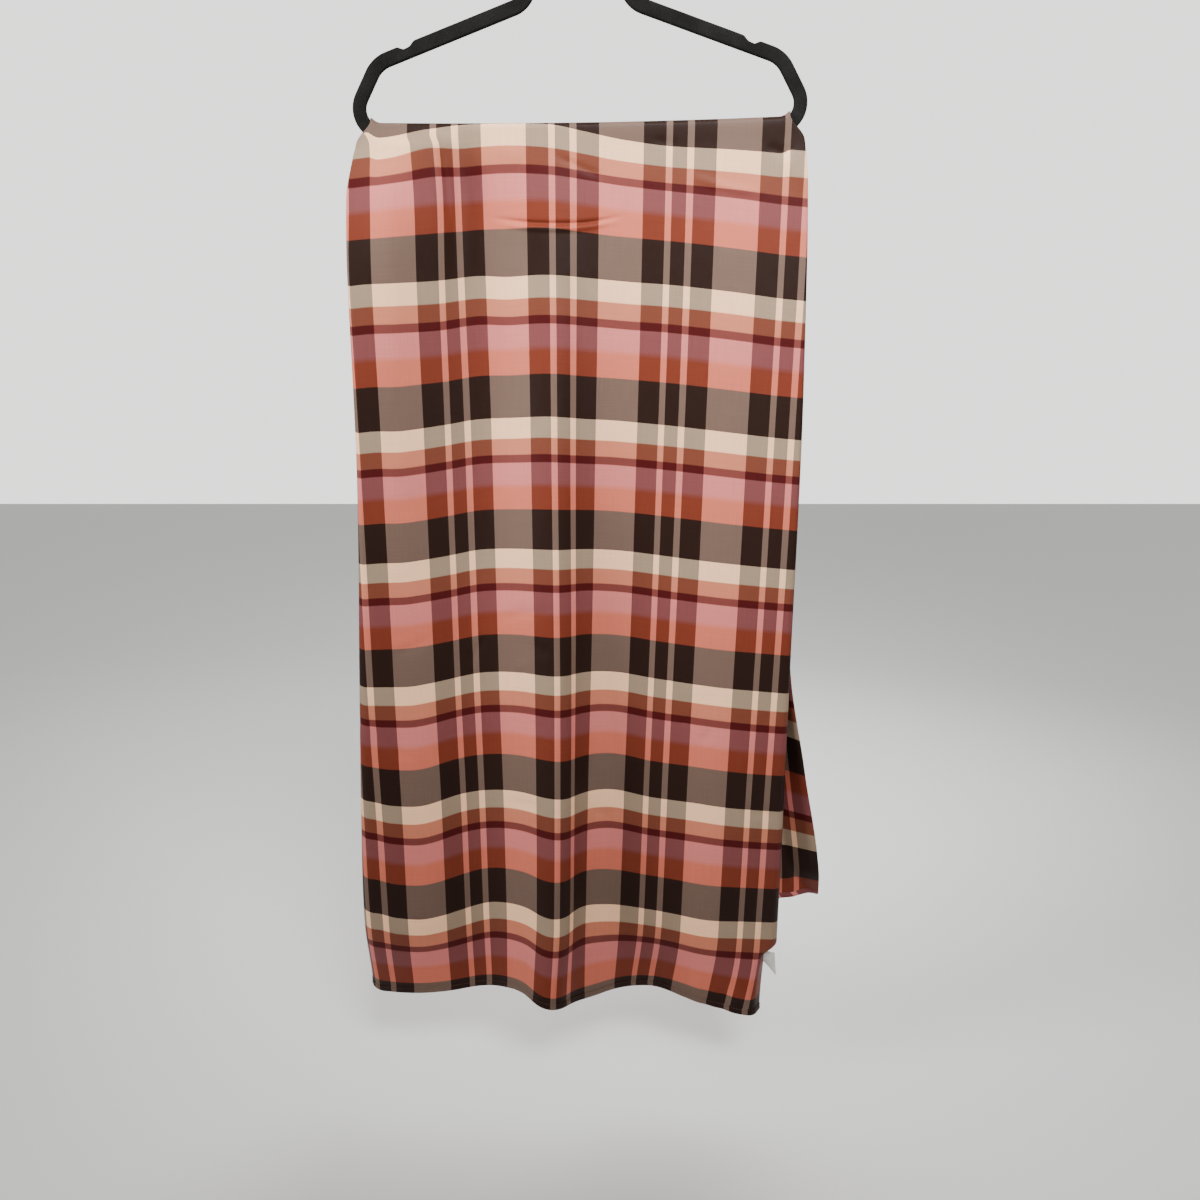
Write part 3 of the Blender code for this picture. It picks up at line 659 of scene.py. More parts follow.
# The back drop's threads have slid up towards the bar, by this much at its hem.
BACK_HEM_SHIFT = 0.012


def saddle_rows(drop):
    """Rows of points over one half of the bar, from its top down to its side."""
    points, fold_place = section(drop, 0.0)
    shift = weft_shift(0.0)
    rows = []
    for k in range(SADDLE_ROWS):
        lean = math.pi / 2 * k / SADDLE_ROWS
        row = []
        for across, x, y, seen in points:
            radius = OUTER_LAYER - y
            place = Vector((x + BAR_SHIFT, -drop.side * radius * math.sin(lean),
                            SADDLE_Z + radius * math.cos(lean) + saddle_rise(x)))
            along = drop.side * OUTER_LAYER * lean - bow(across, fold_place) - shift(seen)
            row.append((place, across, along, seen))
        rows.append(row)
    return rows


def drop_rows(drop, length, stretches, hem_bow):
    """Rows of points down one drop, from the bar's side to the hem."""
    parts = [0.0]
    for _, end, count in stretches:
        start = parts[-1]
        parts += [start + (end - start) * (k + 1) / count for k in range(count)]
    rows = []
    for part in parts:
        level = (length - SADDLE_LENGTH) * part
        points, fold_place = section(drop, level)
        climb = 1 - soft_step(level / SADDLE_SHAPE_DEPTH)
        shift = weft_shift(level if drop.side > 0 else 0.0)
        slide = 0.0 if drop.side > 0 else BACK_HEM_SHIFT * part
        row = []
        for across, x, y, seen in points:
            down = level + part * hem_bow(across, fold_place)
            y -= relief(drop, seen, level)
            place = Vector((x + BAR_SHIFT, drop.side * (y - OUTER_LAYER),
                            SADDLE_Z - down + climb * saddle_rise(x)))
            along = drop.side * (SADDLE_LENGTH + down) - bow(across, fold_place) - shift(seen) - slide
            row.append((place, across, along, seen))
        rows.append(row)
    return rows


front_rows = drop_rows(front_drop, FRONT_LENGTH, FRONT_STRETCHES, hem_bow_front)
back_rows = drop_rows(back_drop, BACK_LENGTH, BACK_STRETCHES, hem_bow_behind)
over_bar = back_rows[:1] + saddle_rows(back_drop)[:0:-1] + saddle_rows(front_drop)
print("rows:", len(over_bar), "over the bar,", len(front_rows), "in front,", len(back_rows), "behind")

# %% [markdown]
# ## Making the cloth
#
# A grid from bmesh has one vertex for each point of the rows, so it only has to be moved onto them. Its
# normals are then recalculated, and a Solidify modifier grows the thin wall evenly to both sides.

# %% Cloth maker
CLOTH_WALL = 0.0008


def cloth_grid(rows):
    """A bmesh grid moved onto rows of points, with the flat cloth's places in its UV map."""
    across_count, down_count = len(rows[0]) - 1, len(rows) - 1
    sheet = bmesh.new()
    bmesh.ops.create_grid(sheet, x_segments=across_count, y_segments=down_count, size=1.0)
    flat = sheet.loops.layers.uv.new("cloth")
    woven = {}
    for corner in sheet.verts:
        i = round((corner.co.x + 1) / 2 * across_count)
        j = round((1 - corner.co.y) / 2 * down_count)
        corner.co, across, along, _ = rows[j][i]
        woven[corner] = (across, along)
    for face in sheet.faces:
        for loop in face.loops:
            loop[flat].uv = woven[loop.vert]
    bmesh.ops.recalc_face_normals(sheet, faces=sheet.faces)
    return sheet


def give_wall(piece, thickness):
    """A Solidify modifier that grows the sheet evenly to both sides."""
    wall = piece.modifiers.new("wall", "SOLIDIFY")
    wall.thickness = thickness
    wall.offset = 0.0
    wall.use_even_offset = True


# %% [markdown]
# ## The woven plaid
#
# A plaid is two sets of stripes that cross: the warp stripes run down the cloth and the weft stripes run
# across it, and where they cross both colours show. The warp here is light or dark. So the colour is read
# from two ramps along the weft, one over a light warp and one over a dark warp, and the warp's own stripes
# choose between them.

# %% Plaid chart
WARP_REPEAT = 0.1165
WARP_START = 0.07515
# No light stripe shows in the last threads at either selvedge.
DARK_SELVEDGE = 0.0024
# Light warp stripes inside one repeat: name, start, width.
LIGHT_STRIPES = (("wide", 0.0, 0.0437), ("thin_left", 0.0662, 0.0066), ("thin_right", 0.0873, 0.0066))
WEFT_REPEAT = 0.1405
WEFT_START = 0.0096
# Weft bands down one repeat: name, width, colour over the light warp, colour over the dark warp (sRGB,
# 0-255), and how softly the band runs into the next one.
WEFT_BANDS = (
    ("cream", 0.0215, (240, 190, 150), (140, 120, 100), 0.0004),
    ("rust", 0.0170, (185, 110, 85), (105, 55, 40), 0.0004),
    ("maroon", 0.0085, (110, 55, 50), (65, 15, 15), 0.0006),
    ("mauve", 0.0240, (195, 110, 105), (110, 60, 60), 0.0060),
    ("orange", 0.0260, (190, 100, 80), (105, 45, 30), 0.0004),
    ("brown", 0.0435, (100, 80, 70), (35, 20, 15), 0.0004),
)


def linear(colour):
    """An sRGB colour, 0 to 255, as the linear values that a shader takes."""
    values = []
    for part in colour:
        share = part / 255
        values.append(share / 12.92 if share <= 0.04045 else ((share + 0.055) / 1.055) ** 2.4)
    return (*values, 1.0)


print("weft repeat:", round(sum(band[1] for band in WEFT_BANDS), 4))

# %% Node helpers


def add_node(tree, kind, settings=(), values=()):
    """A node with its settings, and its input values by name or number."""
    node = tree.nodes.new(kind)
    for name, value in dict(settings).items():
        setattr(node, name, value)
    for name, value in dict(values).items():
        node.inputs[name].default_value = value
    return node


def maths(tree, operation, *operands):
    """A Math node. Each operand is a socket or a number."""
    node = add_node(tree, "ShaderNodeMath", {"operation": operation})
    for socket, operand in zip(node.inputs, operands):
        if isinstance(operand, (int, float)):
            socket.default_value = operand
        else:
            tree.links.new(operand, socket)
    return node.outputs[0]


def ramp_of(tree, factor, stops, interpolation="LINEAR"):
    """A colour ramp with one stop for each (place, colour)."""
    ramp = add_node(tree, "ShaderNodeValToRGB")
    ramp.color_ramp.interpolation = interpolation
    elements = ramp.color_ramp.elements
    elements[0].position, elements[0].color = stops[0]
    elements[1].position, elements[1].color = stops[-1]
    for place, colour in stops[1:-1]:
        elements.new(place).color = colour
    tree.links.new(factor, ramp.inputs["Fac"])
    return ramp.outputs["Color"]


def mix_colours(tree, factor, first, second, blend="MIX"):
    """Two colours mixed. Each operand is a socket or a value."""
    node = add_node(tree, "ShaderNodeMix", {"data_type": "RGBA", "blend_type": blend})
    for name, operand in (("Factor_Float", factor), ("A_Color", first), ("B_Color", second)):
        socket = next(entry for entry in node.inputs if entry.identifier == name)
        if isinstance(operand, (int, float, tuple)):
            socket.default_value = operand
        else:
            tree.links.new(operand, socket)
    return next(entry for entry in node.outputs if entry.identifier == "Result_Color")


# %% Plaid material


def band_stops(column):
    """Ramp stops of the weft bands: column 2 is over the light warp and column 3 over the dark one."""
    stops, place = [], 0.0
    previous = WEFT_BANDS[-1]
    for band in WEFT_BANDS:
        softness = previous[4] / WEFT_REPEAT / 2
        if place > 0:
            stops.append((place - softness, linear(previous[column])))
        stops.append((place + softness, linear(band[column])))
        place += band[1] / WEFT_REPEAT
        previous = band
    stops.append((1.0, linear(previous[column])))
    return stops


def stripe_stops():
    """Ramp stops of the warp mask: white on the light stripes."""
    white, black = (1.0, 1.0, 1.0, 1.0), (0.0, 0.0, 0.0, 1.0)
    stops = []
    for _, start, width in LIGHT_STRIPES:
        stops.append((start / WARP_REPEAT, white))
        stops.append(((start + width) / WARP_REPEAT, black))
    return stops


plaid, tree, shader = finish_with_nodes("plaid_cloth")
flat_cloth = add_node(tree, "ShaderNodeUVMap", {"uv_map": "cloth"}).outputs["UV"]
flat_parts = add_node(tree, "ShaderNodeSeparateXYZ")
tree.links.new(flat_cloth, flat_parts.inputs["Vector"])
across, along = flat_parts.outputs["X"], flat_parts.outputs["Y"]
warp_turn = maths(tree, "DIVIDE", maths(tree, "SUBTRACT", across, WARP_START - WARP_REPEAT), WARP_REPEAT)
warp_place = maths(tree, "FRACT", warp_turn)
weft_turn = maths(tree, "DIVIDE", maths(tree, "SUBTRACT", along, WEFT_START), WEFT_REPEAT)
weft_place = maths(tree, "FRACT", weft_turn)
inside_selvedges = maths(tree, "COMPARE", across, CLOTH_WIDTH / 2, CLOTH_WIDTH / 2 - DARK_SELVEDGE)
light_warp = maths(tree, "MULTIPLY", ramp_of(tree, warp_place, stripe_stops(), "CONSTANT"), inside_selvedges)
over_light = ramp_of(tree, weft_place, band_stops(2))
over_dark = ramp_of(tree, weft_place, band_stops(3))
plaid_colour = mix_colours(tree, light_warp, over_dark, over_light)
print("plaid nodes:", len(tree.nodes))

# %% [markdown]
# ## Threads, weave and handle
#
# A plain colour would look printed. In woven cloth each thread has its own shade, so the colour gets faint
# streaks along the warp and along the weft. Fine slanting lines of bump stand for the twill, and two soft
# noises under them for cloth that has been folded and worn. All of it follows the flat cloth's UV map in
# metres, so it runs with the threads through every fold.

# %% Streaks and bump
# Noise stretched along a thread: threads to the metre across it, and changes to the metre along it.
THREADS_PER_METRE = 900.0
SLUBS_PER_METRE = 22.0
STREAK_RANGE = (0.945, 1.055)
# The range that nearly all of a noise's values lie in, and that of two noises added.
NOISE_RANGE = (0.3, 0.7)
TWO_NOISES_RANGE = (0.7, 1.3)
TWILL_SCALE = 760.0
TWILL_DEPTH = 0.00006
# Soft unevenness of the cloth: name, waves across and along to the metre, height in metres.
HANDLE = (("creased", 34.0, 20.0, 0.0016), ("worn", 150.0, 110.0, 0.00022))


def stretched(tree, vector, scale):
    """The flat cloth's coordinates, scaled."""
    node = add_node(tree, "ShaderNodeMapping", values={"Scale": scale})
    tree.links.new(vector, node.inputs["Vector"])
    return node.outputs["Vector"]


def noise_on(tree, vector, detail=2.0):
    """A noise at these coordinates."""
    node = add_node(tree, "ShaderNodeTexNoise", values={"Scale": 1.0, "Detail": detail, "Roughness": 0.5})
    tree.links.new(vector, node.inputs["Vector"])
    return node.outputs["Fac"]


def in_range(tree, value, low, high, to_low, to_high):
    """The value moved from one range into another."""
    node = add_node(tree, "ShaderNodeMapRange", values={"From Min": low, "From Max": high,
                                                        "To Min": to_low, "To Max": to_high})
    tree.links.new(value, node.inputs["Value"])
    return node.outputs["Result"]


def bump(tree, height, distance, below=None, strength=1.0):
    """A Bump node on top of the one below."""
    node = add_node(tree, "ShaderNodeBump", values={"Strength": strength, "Distance": distance})
    tree.links.new(height, node.inputs["Height"])
    if below is not None:
        tree.links.new(below, node.inputs["Normal"])
    return node.outputs["Normal"]


warp_streaks = noise_on(tree, stretched(tree, flat_cloth, (THREADS_PER_METRE, SLUBS_PER_METRE, 1.0)))
weft_streaks = noise_on(tree, stretched(tree, flat_cloth, (SLUBS_PER_METRE, THREADS_PER_METRE, 1.0)))
both_streaks = maths(tree, "ADD", warp_streaks, weft_streaks)
streaks = in_range(tree, both_streaks, *TWO_NOISES_RANGE, *STREAK_RANGE)
tree.links.new(mix_colours(tree, 1.0, plaid_colour, streaks, "MULTIPLY"), shader.inputs["Base Color"])
surface = None
for _, waves_across, waves_along, height in HANDLE:
    surface = bump(tree, noise_on(tree, stretched(tree, flat_cloth, (waves_across, waves_along, 1.0))),
                   height, surface, 0.5)
twill = add_node(tree, "ShaderNodeTexWave", {"bands_direction": "DIAGONAL"},
                 {"Scale": TWILL_SCALE, "Distortion": 0.4, "Detail": 0.0})
tree.links.new(flat_cloth, twill.inputs["Vector"])
surface = bump(tree, twill.outputs["Fac"], TWILL_DEPTH, surface, 0.6)
tree.links.new(surface, shader.inputs["Normal"])
tree.links.new(in_range(tree, warp_streaks, *NOISE_RANGE, 0.42, 0.56), shader.inputs["Roughness"])
shader.inputs["Specular IOR Level"].default_value = 0.08
shader.inputs["Sheen Weight"].default_value = 0.01
shader.inputs["Sheen Roughness"].default_value = 0.4
print("plaid nodes:", len(tree.nodes))

# %% [markdown]
# ## The scarf
#
# The frame has the scarf as two solids, so two pieces stand for them: the front drop with the cloth over
# the bar, and the back drop. Their edge rows lie on the same points, so no gap shows between them.

# %% Front and back drops
scarf_front = object_from(cloth_grid(over_bar + front_rows), "scarf_front_cloth", plaid)
give_wall(scarf_front, CLOTH_WALL)
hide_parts("scarf_front")
scarf_back = object_from(cloth_grid(back_rows), "scarf_back_cloth", plaid)
give_wall(scarf_back, CLOTH_WALL)
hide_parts("scarf_back")
for piece in (scarf_front, scarf_back):
    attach(piece, "root")
    print(piece.name, "faces:", len(piece.data.polygons))

# %% [markdown]
# ## The turned hems
#
# Each end of the panel is turned up twice and sewn, which leaves a narrow firm strip that curls a little. The
# hem follows the last row of the cloth: a slim closed outline is carried along that row with the same grid as
# the cloth itself, and its UV map carries on from the cloth's, so the brown of the last band runs into it.

# %% Hems
# Round the hem: name, how far above the cloth's end, how far out from its middle layer (millimetres).
HEM_OUTLINE = (
    ("front_top", 7.6, 0.5),
    ("front_shoulder", 6.8, 1.0),
    ("front_middle", 4.0, 1.0),
    ("front_roll", 1.6, 1.4),
    ("front_foot", 0.0, 1.1),
    ("edge", -0.7, 0.0),
    ("back_foot", 0.0, -1.1),
    ("back_roll", 1.6, -1.4),
    ("back_middle", 4.0, -1.0),
    ("back_shoulder", 6.8, -1.0),
    ("back_top", 7.6, -0.5),
)
# The way up the cloth at the hem is taken from the row this many rows above the last.
HEM_LOOK_BACK = 4
JOIN_DISTANCE = 1e-6


def hem_frames(rows):
    """For each point of the last row: its place, the ways along the hem, up the cloth and outwards."""
    frames = []
    last, above = ([point[0] for point in row] for row in (rows[-1], rows[-HEM_LOOK_BACK]))
    for i, place in enumerate(last):
        up = (above[i] - place).normalized()
        beside = last[min(i + 1, len(last) - 1)] - last[max(i - 1, 0)]
        out = beside.cross(up).normalized()
        frames.append((place, out.cross(up).normalized() * -1.0, up, out))
    return frames


def hem_rows(rows, side):
    """The hem's outline carried along the last row, as rows for a grid."""
    frames = hem_frames(rows)
    hem = []
    for name, height, stand in (*HEM_OUTLINE, HEM_OUTLINE[0]):
        beyond = -height if name.startswith("front") else height
        row = []
        for (place, _, up, out), (_, across, along, seen) in zip(frames, rows[-1]):
            spot = place + MILLIMETRE * (height * up + side * stand * out)
            row.append((spot, across, along + side * MILLIMETRE * beyond, seen))
        hem.append(row)
    return hem


def close_tube(sheet):
    """Join a grid's first and last rows and cap both ends."""
    bmesh.ops.remove_doubles(sheet, verts=sheet.verts, dist=JOIN_DISTANCE)
    bmesh.ops.holes_fill(sheet, edges=[edge for edge in sheet.edges if edge.is_boundary])
    bmesh.ops.recalc_face_normals(sheet, faces=sheet.faces)


hems = {}
for name, rows, side in (("front_hem", front_rows, 1), ("back_hem", back_rows, -1)):
    hem_sheet = cloth_grid(hem_rows(rows, side))
    close_tube(hem_sheet)
    hems[name] = object_from(hem_sheet, name, plaid)
    print(name, "faces:", len(hems[name].data.polygons))

# %% [markdown]
# ## Hem stitches
#
# A hem is sewn with one row of small straight stitches near its top. Each stitch is a tiny rounded grain of
# thread that is sunk halfway into the cloth. There are a few hundred, so each has only a few faces.

# %% Stitches
STITCH_PITCH = 0.0031
# Half the length, height and thickness of one stitch.
STITCH_SIZE = (0.00115, 0.00022, 0.00026)
# How far above the cloth's end the stitches run, and how far out from its middle layer.
STITCH_HEIGHT = 0.0062
STITCH_STAND = 0.0011

thread, thread_tree, thread_shader = finish_with_nodes("hem_thread")
thread_spots = add_node(thread_tree, "ShaderNodeTexCoord")
thread_noise = add_node(thread_tree, "ShaderNodeTexNoise", values={"Scale": 900.0, "Detail": 1.0})
thread_tree.links.new(thread_spots.outputs["Object"], thread_noise.inputs["Vector"])
thread_tones = [(NOISE_RANGE[0], linear((52, 34, 24))), (NOISE_RANGE[1], linear((84, 58, 42)))]
thread_tree.links.new(ramp_of(thread_tree, thread_noise.outputs["Fac"], thread_tones),
                      thread_shader.inputs["Base Color"])
thread_shader.inputs["Roughness"].default_value = 0.6


def stitch_row(rows, side):
    """Small grains of thread along a hem, as one mesh."""
    frames = hem_frames(rows)
    sheet = bmesh.new()
    walked, next_stitch = 0.0, STITCH_PITCH
    for (place, way, up, out), (ahead, _, _, _) in zip(frames, frames[1:]):
        step = (ahead - place).length
        while next_stitch <= walked + step:
            spot = place.lerp(ahead, (next_stitch - walked) / step)
            spot += STITCH_HEIGHT * up + side * STITCH_STAND * out
            turn = Matrix((way, up, out)).transposed().to_4x4()
            grain = Matrix.Translation(spot) @ turn @ Matrix.Diagonal((*STITCH_SIZE, 1.0))
            bmesh.ops.create_icosphere(sheet, subdivisions=1, radius=1.0, matrix=grain)
            next_stitch += STITCH_PITCH
        walked += step
    bmesh.ops.recalc_face_normals(sheet, faces=sheet.faces)
    return sheet


for name, rows, side in (("front_stitches", front_rows, 1), ("back_stitches", back_rows, -1)):
    hems[name] = object_from(stitch_row(rows, side), name, thread)
    print(name, "faces:", len(hems[name].data.polygons))
for name, piece in hems.items():
    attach(piece, "root")

# %% [markdown]
# ## The care label
#
# A short blank satin tape is sewn into the right selvedge of the front drop, folded double, and its corner
# hangs out below. Each layer is a small grid between four corners, bowed a little so that it isn't a flat
# card. The corners come from the box of the label in the frame.

# %% Label
LABEL_COLUMNS = 10
LABEL_ROWS = 14
LABEL_WALL = 0.00028
LABEL_BOW = 0.0010
label_low, label_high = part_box("care_label")
LABEL_BOX = (label_high[0] - label_low[0], label_high[1] - label_low[1], label_high[2] - label_low[2])
# Each layer's four corners as parts of the label's box across, back and up: the two at the top, the hanging
# tip, and the lower one by the selvedge.
LABEL_LAYERS = (
    ("outer", (0.00, 0.16, 1.00), (0.82, 0.20, 0.88), (1.00, 0.86, -0.26), (0.02, 0.55, 0.62)),
    ("inner", (0.00, 0.34, 0.98), (0.79, 0.42, 0.86), (0.92, 0.95, -0.16), (0.02, 0.78, 0.56)),
)

tape, tape_tree, tape_shader = finish_with_nodes("label_tape")
tape_flat = add_node(tape_tree, "ShaderNodeUVMap", {"uv_map": "cloth"}).outputs["UV"]
tape_ribs = noise_on(tape_tree, stretched(tape_tree, tape_flat, (60.0, 2200.0, 1.0)))
tape_tone = noise_on(tape_tree, stretched(tape_tree, tape_flat, (90.0, 70.0, 1.0)))
tape_tones = [(NOISE_RANGE[0], linear((206, 203, 196))), (NOISE_RANGE[1], linear((226, 224, 219)))]
tape_tree.links.new(ramp_of(tape_tree, tape_tone, tape_tones), tape_shader.inputs["Base Color"])
tape_tree.links.new(bump(tape_tree, tape_ribs, 0.00006, strength=0.5), tape_shader.inputs["Normal"])
tape_tree.links.new(in_range(tape_tree, tape_ribs, *NOISE_RANGE, 0.32, 0.46), tape_shader.inputs["Roughness"])
tape_shader.inputs["Sheen Weight"].default_value = 0.10


def in_label_box(parts):
    """A point of the label's box in the frame."""
    return Vector(low + part * size for low, part, size in zip(label_low, parts, LABEL_BOX))


for layer, *corners in LABEL_LAYERS:
    top_inner, top_outer, tip, bottom_inner = (in_label_box(corner) for corner in corners)
    layer_rows = []
    for j in range(LABEL_ROWS + 1):
        down = j / LABEL_ROWS
        start, end = top_inner.lerp(bottom_inner, down), top_outer.lerp(tip, down)
        row = []
        for i in range(LABEL_COLUMNS + 1):
            out = i / LABEL_COLUMNS
            spot = start.lerp(end, out)
            spot.y -= LABEL_BOW * math.sin(math.pi * out) * math.sin(math.pi * down)
            row.append((spot, LABEL_BOX[0] * out, LABEL_BOX[2] * down, out))
        layer_rows.append(row)
    label_piece = object_from(cloth_grid(layer_rows), "care_label_" + layer, tape)
    give_wall(label_piece, LABEL_WALL)
    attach(label_piece, "root")
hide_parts("care_label")

# %% [markdown]
# ## The flocked hanger
#
# The hanger is one flat strap of moulded plastic with rounded edges, bent into a closed loop: it arches over
# the neck, runs down both shoulders, and its ends bend in to the bar. Its face is a ring between an outer and
# an inner edge, so two loops of edges are bridged, the ring is pushed out to its thickness, and its long
# edges are bevelled. The top of each shoulder has a shallow notch that holds a thin strap of a garment.

# %% Strap centre line
STRAP_WIDTH = 0.0135
STRAP_THICKNESS = 0.0050
STRAP_EDGE_ROUNDING = 0.0019
STRAP_EDGE_STEPS = 4
# An edge of the strap that turns by more than this is one of its long edges.
SHARP_TURN = 60.0
# Corners of the centre line, right half: name, x, z, radius of the bend.
STRAP_CORNERS = (
    ("neck", 0.0320, -0.0865, 0.0270),
    ("neck_foot", 0.0530, -0.1277, 0.0250),
    ("shoulder_tip", 0.1971, -0.1779, 0.0300),
    ("bar_end", 0.2325, BAR_TOP_Z - STRAP_WIDTH / 2, 0.0220),
)
BEND_STEPS = 14
RUN_STEP = 0.0020
BAR_STEPS = 40
# The notch in each shoulder, and its outline: name, distance out from NOTCH_X, share of its depth.
NOTCH_X = 0.1660
NOTCH_DEPTH = 0.0038
NOTCH_PROFILE = (
    ("neck_lip", -0.0090, 0.0),
    ("neck_foot", -0.0020, 0.9),
    ("floor", 0.0030, 1.0),
    ("outer_lip", 0.0086, 0.0),
)


def bent_line(corners):
    """Points along a line of (x, z, radius) corners, each corner bent round and the runs divided evenly."""
    bends = []
    for (x0, z0, _), (x1, z1, radius), (x2, z2, _) in zip(corners, corners[1:], corners[2:]):
        before, after = math.atan2(z1 - z0, x1 - x0), math.atan2(z2 - z1, x2 - x1)
        turn = (after - before + math.pi) % (2 * math.pi) - math.pi
        cut = radius * math.tan(abs(turn) / 2)
        spot = Vector((x1 - cut * math.cos(before), z1 - cut * math.sin(before)))
        bend = [spot.copy()]
        for k in range(BEND_STEPS):
            heading = before + turn * (k + 0.5) / BEND_STEPS
            chord = 2 * radius * math.sin(abs(turn) / BEND_STEPS / 2)
            spot += chord * Vector((math.cos(heading), math.sin(heading)))
            bend.append(spot.copy())
        bends.append(bend)
    line = [Vector(corners[0][:2])]
    for bend in (*bends, [Vector(corners[-1][:2])]):
        steps = max(1, round((bend[0] - line[-1]).length / RUN_STEP))
        start = line[-1]
        line += [start.lerp(bend[0], (k + 1) / steps) for k in range(steps)]
        line += bend[1:]
    return line


def strap_centre():
    """The right half, from the top of the neck to the middle of the bar, which sags a little."""
    corners = [(0.0, STRAP_CORNERS[0][2], 0.0), *(corner[1:] for corner in STRAP_CORNERS)]
    line = bent_line([*corners, (0.0, STRAP_CORNERS[-1][2], 0.0)])
    bar_start = max(k for k, spot in enumerate(line) if spot.x > STRAIGHT_BAR)
    end_x, end_z = line[bar_start]
    line = line[:bar_start + 1]
    for k in range(1, BAR_STEPS + 1):
        x = end_x * (1 - k / BAR_STEPS)
        line.append(Vector((x, end_z - BAR_SAG * (1 - (x / end_x) ** 2))))
    return line


centre_line = strap_centre()
print("strap points:", len(centre_line), " widest:", round(max(spot.x for spot in centre_line), 4))

# %% Strap
notch = smooth_curve([out for _, out, _ in NOTCH_PROFILE], [share for _, _, share in NOTCH_PROFILE])


def strap_edge(line, offset):
    """The strap's outer or inner edge all the way round, as (x, z)."""
    half = []
    for k, spot in enumerate(line):
        way = line[min(k + 1, len(line) - 1)] - line[max(k - 1, 0)]
        if k in (0, len(line) - 1):
            way = Vector((1.0, 0.0)) if k == 0 else Vector((-1.0, 0.0))
        way.normalize()
        on_top = offset > 0 and spot.y > STRAP_CORNERS[2][2] - STRAP_WIDTH
        cut = NOTCH_DEPTH * notch(spot.x - NOTCH_X) if on_top else 0.0
        half.append((spot.x - (offset - cut) * way.y, spot.y + (offset - cut) * way.x))
    return half + [(-x, z) for x, z in half[-2:0:-1]]


def edge_loop(sheet, points, depth):
    """A closed loop of edges through (x, z) points."""
    corners = [sheet.verts.new((x, depth, z)) for x, z in points]
    return [sheet.edges.new(pair) for pair in zip(corners, corners[1:] + corners[:1])]


strap_sheet = bmesh.new()
strap_edges = []
for offset in (STRAP_WIDTH / 2, -STRAP_WIDTH / 2):
    strap_edges += edge_loop(strap_sheet, strap_edge(centre_line, offset), -STRAP_THICKNESS / 2)
bmesh.ops.bridge_loops(strap_sheet, edges=strap_edges)
pushed = bmesh.ops.extrude_face_region(strap_sheet, geom=strap_sheet.faces[:])
moved = [entry for entry in pushed["geom"] if isinstance(entry, bmesh.types.BMVert)]
bmesh.ops.translate(strap_sheet, vec=(0.0, STRAP_THICKNESS, 0.0), verts=moved)
bmesh.ops.recalc_face_normals(strap_sheet, faces=strap_sheet.faces)
corner_edges = [edge for edge in strap_sheet.edges if edge.calc_face_angle(0.0) > math.radians(SHARP_TURN)]
bmesh.ops.bevel(strap_sheet, geom=corner_edges, offset=STRAP_EDGE_ROUNDING, offset_type="OFFSET",
                affect="EDGES", segments=STRAP_EDGE_STEPS, profile=0.5, material=-1, clamp_overlap=True)
lean = Matrix.Rotation(-math.radians(HANGER_TILT), 3, "Y")
bmesh.ops.rotate(strap_sheet, cent=(0.0, 0.0, 0.0), matrix=lean, verts=strap_sheet.verts)
print("strap faces:", len(strap_sheet.faces))

# %% [markdown]
# ## Flock
#
# Flock is a velvet of very short fibres that are glued on. It swallows nearly all light, has no gloss, and
# shows a faint pale edge where it is seen at a slant, which is what a shader's sheen is for. A fine noise
# gives its grain, and a coarser one the places that hands have rubbed.

# %% Flocked finish
flock, flock_tree, flock_shader = finish_with_nodes("black_flock")
flock_spots = add_node(flock_tree, "ShaderNodeTexCoord").outputs["Object"]
grain = noise_on(flock_tree, stretched(flock_tree, flock_spots, (2600.0, 2600.0, 2600.0)))
rubbed = noise_on(flock_tree, stretched(flock_tree, flock_spots, (38.0, 38.0, 38.0)), 3.0)
flock_tones = [(0.35, (0.0045, 0.0044, 0.0042, 1.0)), (0.70, (0.0130, 0.0125, 0.0115, 1.0))]
grain_tone = ramp_of(flock_tree, grain, flock_tones)
worn_tone = in_range(flock_tree, rubbed, 0.35, 0.75, 0.85, 1.35)
flock_colour = mix_colours(flock_tree, 1.0, grain_tone, worn_tone, "MULTIPLY")
flock_tree.links.new(flock_colour, flock_shader.inputs["Base Color"])
flock_tree.links.new(bump(flock_tree, grain, 0.00020, strength=0.6), flock_shader.inputs["Normal"])
flock_tree.links.new(in_range(flock_tree, rubbed, *NOISE_RANGE, 0.98, 0.86), flock_shader.inputs["Roughness"])
flock_shader.inputs["Specular IOR Level"].default_value = 0.05
flock_shader.inputs["Sheen Weight"].default_value = 0.015
flock_shader.inputs["Sheen Roughness"].default_value = 0.5
strap = object_from(strap_sheet, "hanger_strap", flock)
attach(strap, "root")
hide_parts("hanger_body", "hanger_neck")
print("strap in the scene, faces:", len(strap.data.polygons))

# %% [markdown]
# ## The wire hook
#
# The hook is one round plated wire. It comes straight out of the neck, bends a little aside and turns over
# the rail. It is made as the wire is bent: a circle set at each point of the way, each bridged to the one
# before, with a rounded tip so that it doesn't snag.

# %% Hook
WIRE_RADIUS = 0.0019
WIRE_SIDES = 20
HOOK_RADIUS = 0.0210
HOOK_FIRST_ANGLE = -38.0
HOOK_LAST_ANGLE = 206.0
# The shank starts just inside the strap's upper edge and bends aside from this height on.
SHANK_SUNK = 0.0006
SHANK_BEND_Z = -0.0610
SHANK_HANDLE = 0.012
SHANK_STEPS = 14
HOOK_STEPS = 48
TIP_STEPS = 5


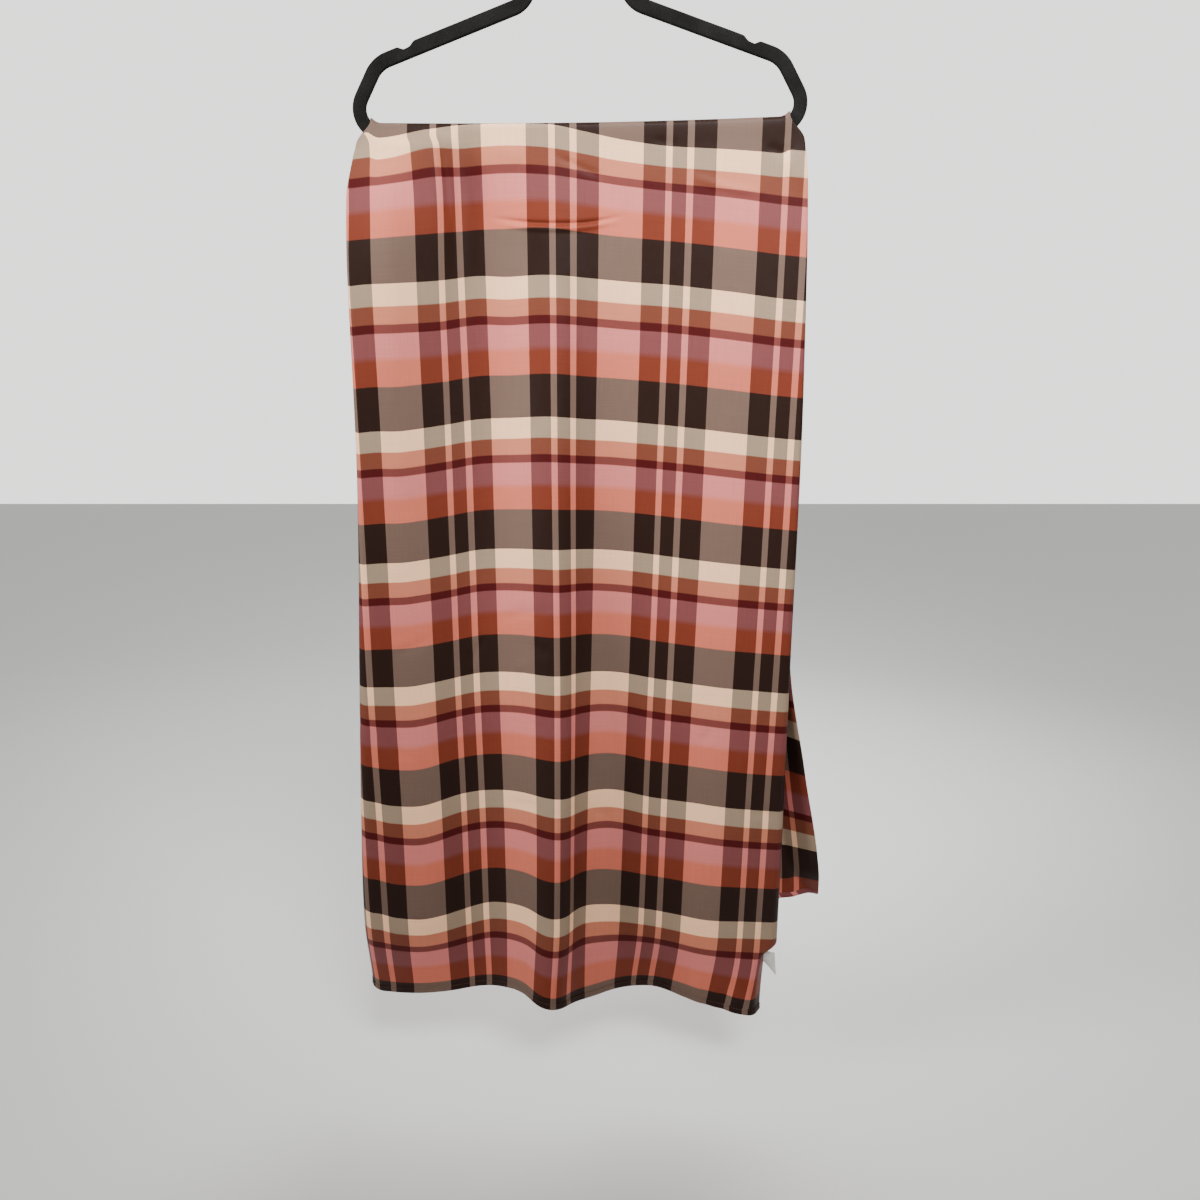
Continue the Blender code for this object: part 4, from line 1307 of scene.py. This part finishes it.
def hook_way():
    """Points (x, z) of the wire's middle, from inside the neck to the start of the rounded tip."""
    centre_z = WIRE_RADIUS - HOOK_RADIUS
    first = math.radians(HOOK_FIRST_ANGLE)
    join = Vector((HOOK_RADIUS * math.cos(first), centre_z + HOOK_RADIUS * math.sin(first)))
    lower = Vector((0.0, SHANK_BEND_Z))
    upper = join + SHANK_HANDLE * Vector((math.sin(first), -math.cos(first)))
    cage = (lower, lower + Vector((0.0, SHANK_HANDLE)), upper, join)
    way = [Vector((0.0, STRAP_CORNERS[0][2] + STRAP_WIDTH / 2 - SHANK_SUNK))]
    for k in range(SHANK_STEPS):
        part = k / SHANK_STEPS
        weights = ((1 - part) ** 3, 3 * part * (1 - part) ** 2, 3 * part ** 2 * (1 - part), part ** 3)
        way.append(sum((w * spot for w, spot in zip(weights, cage)), Vector((0.0, 0.0))))
    last_angle = HOOK_LAST_ANGLE - math.degrees(WIRE_RADIUS / HOOK_RADIUS)
    for k in range(HOOK_STEPS + 1):
        angle = math.radians(HOOK_FIRST_ANGLE + (last_angle - HOOK_FIRST_ANGLE) * k / HOOK_STEPS)
        way.append(Vector((HOOK_RADIUS * math.cos(angle), centre_z + HOOK_RADIUS * math.sin(angle))))
    return way


def wire_ring(sheet, spot, heading, radius):
    """A circle of edges across the wire."""
    turn = Vector((heading.x, 0.0, heading.y)).to_track_quat("Z", "Y").to_matrix().to_4x4()
    made = bmesh.ops.create_circle(sheet, cap_ends=False, segments=WIRE_SIDES, radius=radius,
                                   matrix=Matrix.Translation((spot.x, 0.0, spot.y)) @ turn)
    return list({edge for corner in made["verts"] for edge in corner.link_edges})


way = hook_way()
hook_sheet = bmesh.new()
rings = [wire_ring(hook_sheet, spot, way[min(k + 1, len(way) - 1)] - way[max(k - 1, 0)], WIRE_RADIUS)
         for k, spot in enumerate(way)]
last_heading = (way[-1] - way[-2]).normalized()
for k in range(1, TIP_STEPS):
    lift = math.pi / 2 * k / TIP_STEPS
    rings.append(wire_ring(hook_sheet, way[-1] + last_heading * WIRE_RADIUS * math.sin(lift), last_heading,
                           WIRE_RADIUS * math.cos(lift)))
for lower_ring, upper_ring in zip(rings, rings[1:]):
    bmesh.ops.bridge_loops(hook_sheet, edges=lower_ring + upper_ring)
close_tube(hook_sheet)
bmesh.ops.rotate(hook_sheet, cent=(0.0, 0.0, 0.0), matrix=lean, verts=hook_sheet.verts)

steel, steel_tree, steel_shader = finish_with_nodes("hook_steel")
steel_spots = add_node(steel_tree, "ShaderNodeTexCoord").outputs["Object"]
plating = noise_on(steel_tree, stretched(steel_tree, steel_spots, (260.0, 260.0, 260.0)), 3.0)
steel_tones = [(NOISE_RANGE[0], (0.50, 0.50, 0.52, 1.0)), (NOISE_RANGE[1], (0.66, 0.66, 0.68, 1.0))]
steel_tree.links.new(ramp_of(steel_tree, plating, steel_tones), steel_shader.inputs["Base Color"])
steel_gloss = in_range(steel_tree, plating, *NOISE_RANGE, 0.14, 0.30)
steel_tree.links.new(steel_gloss, steel_shader.inputs["Roughness"])
steel_tree.links.new(bump(steel_tree, plating, 0.00003, strength=0.4), steel_shader.inputs["Normal"])
steel_shader.inputs["Metallic"].default_value = 1.0
hook = object_from(hook_sheet, "hanger_wire_hook", steel)
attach(hook, "root")
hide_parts("hanger_hook")
print("hook faces:", len(hook.data.polygons))
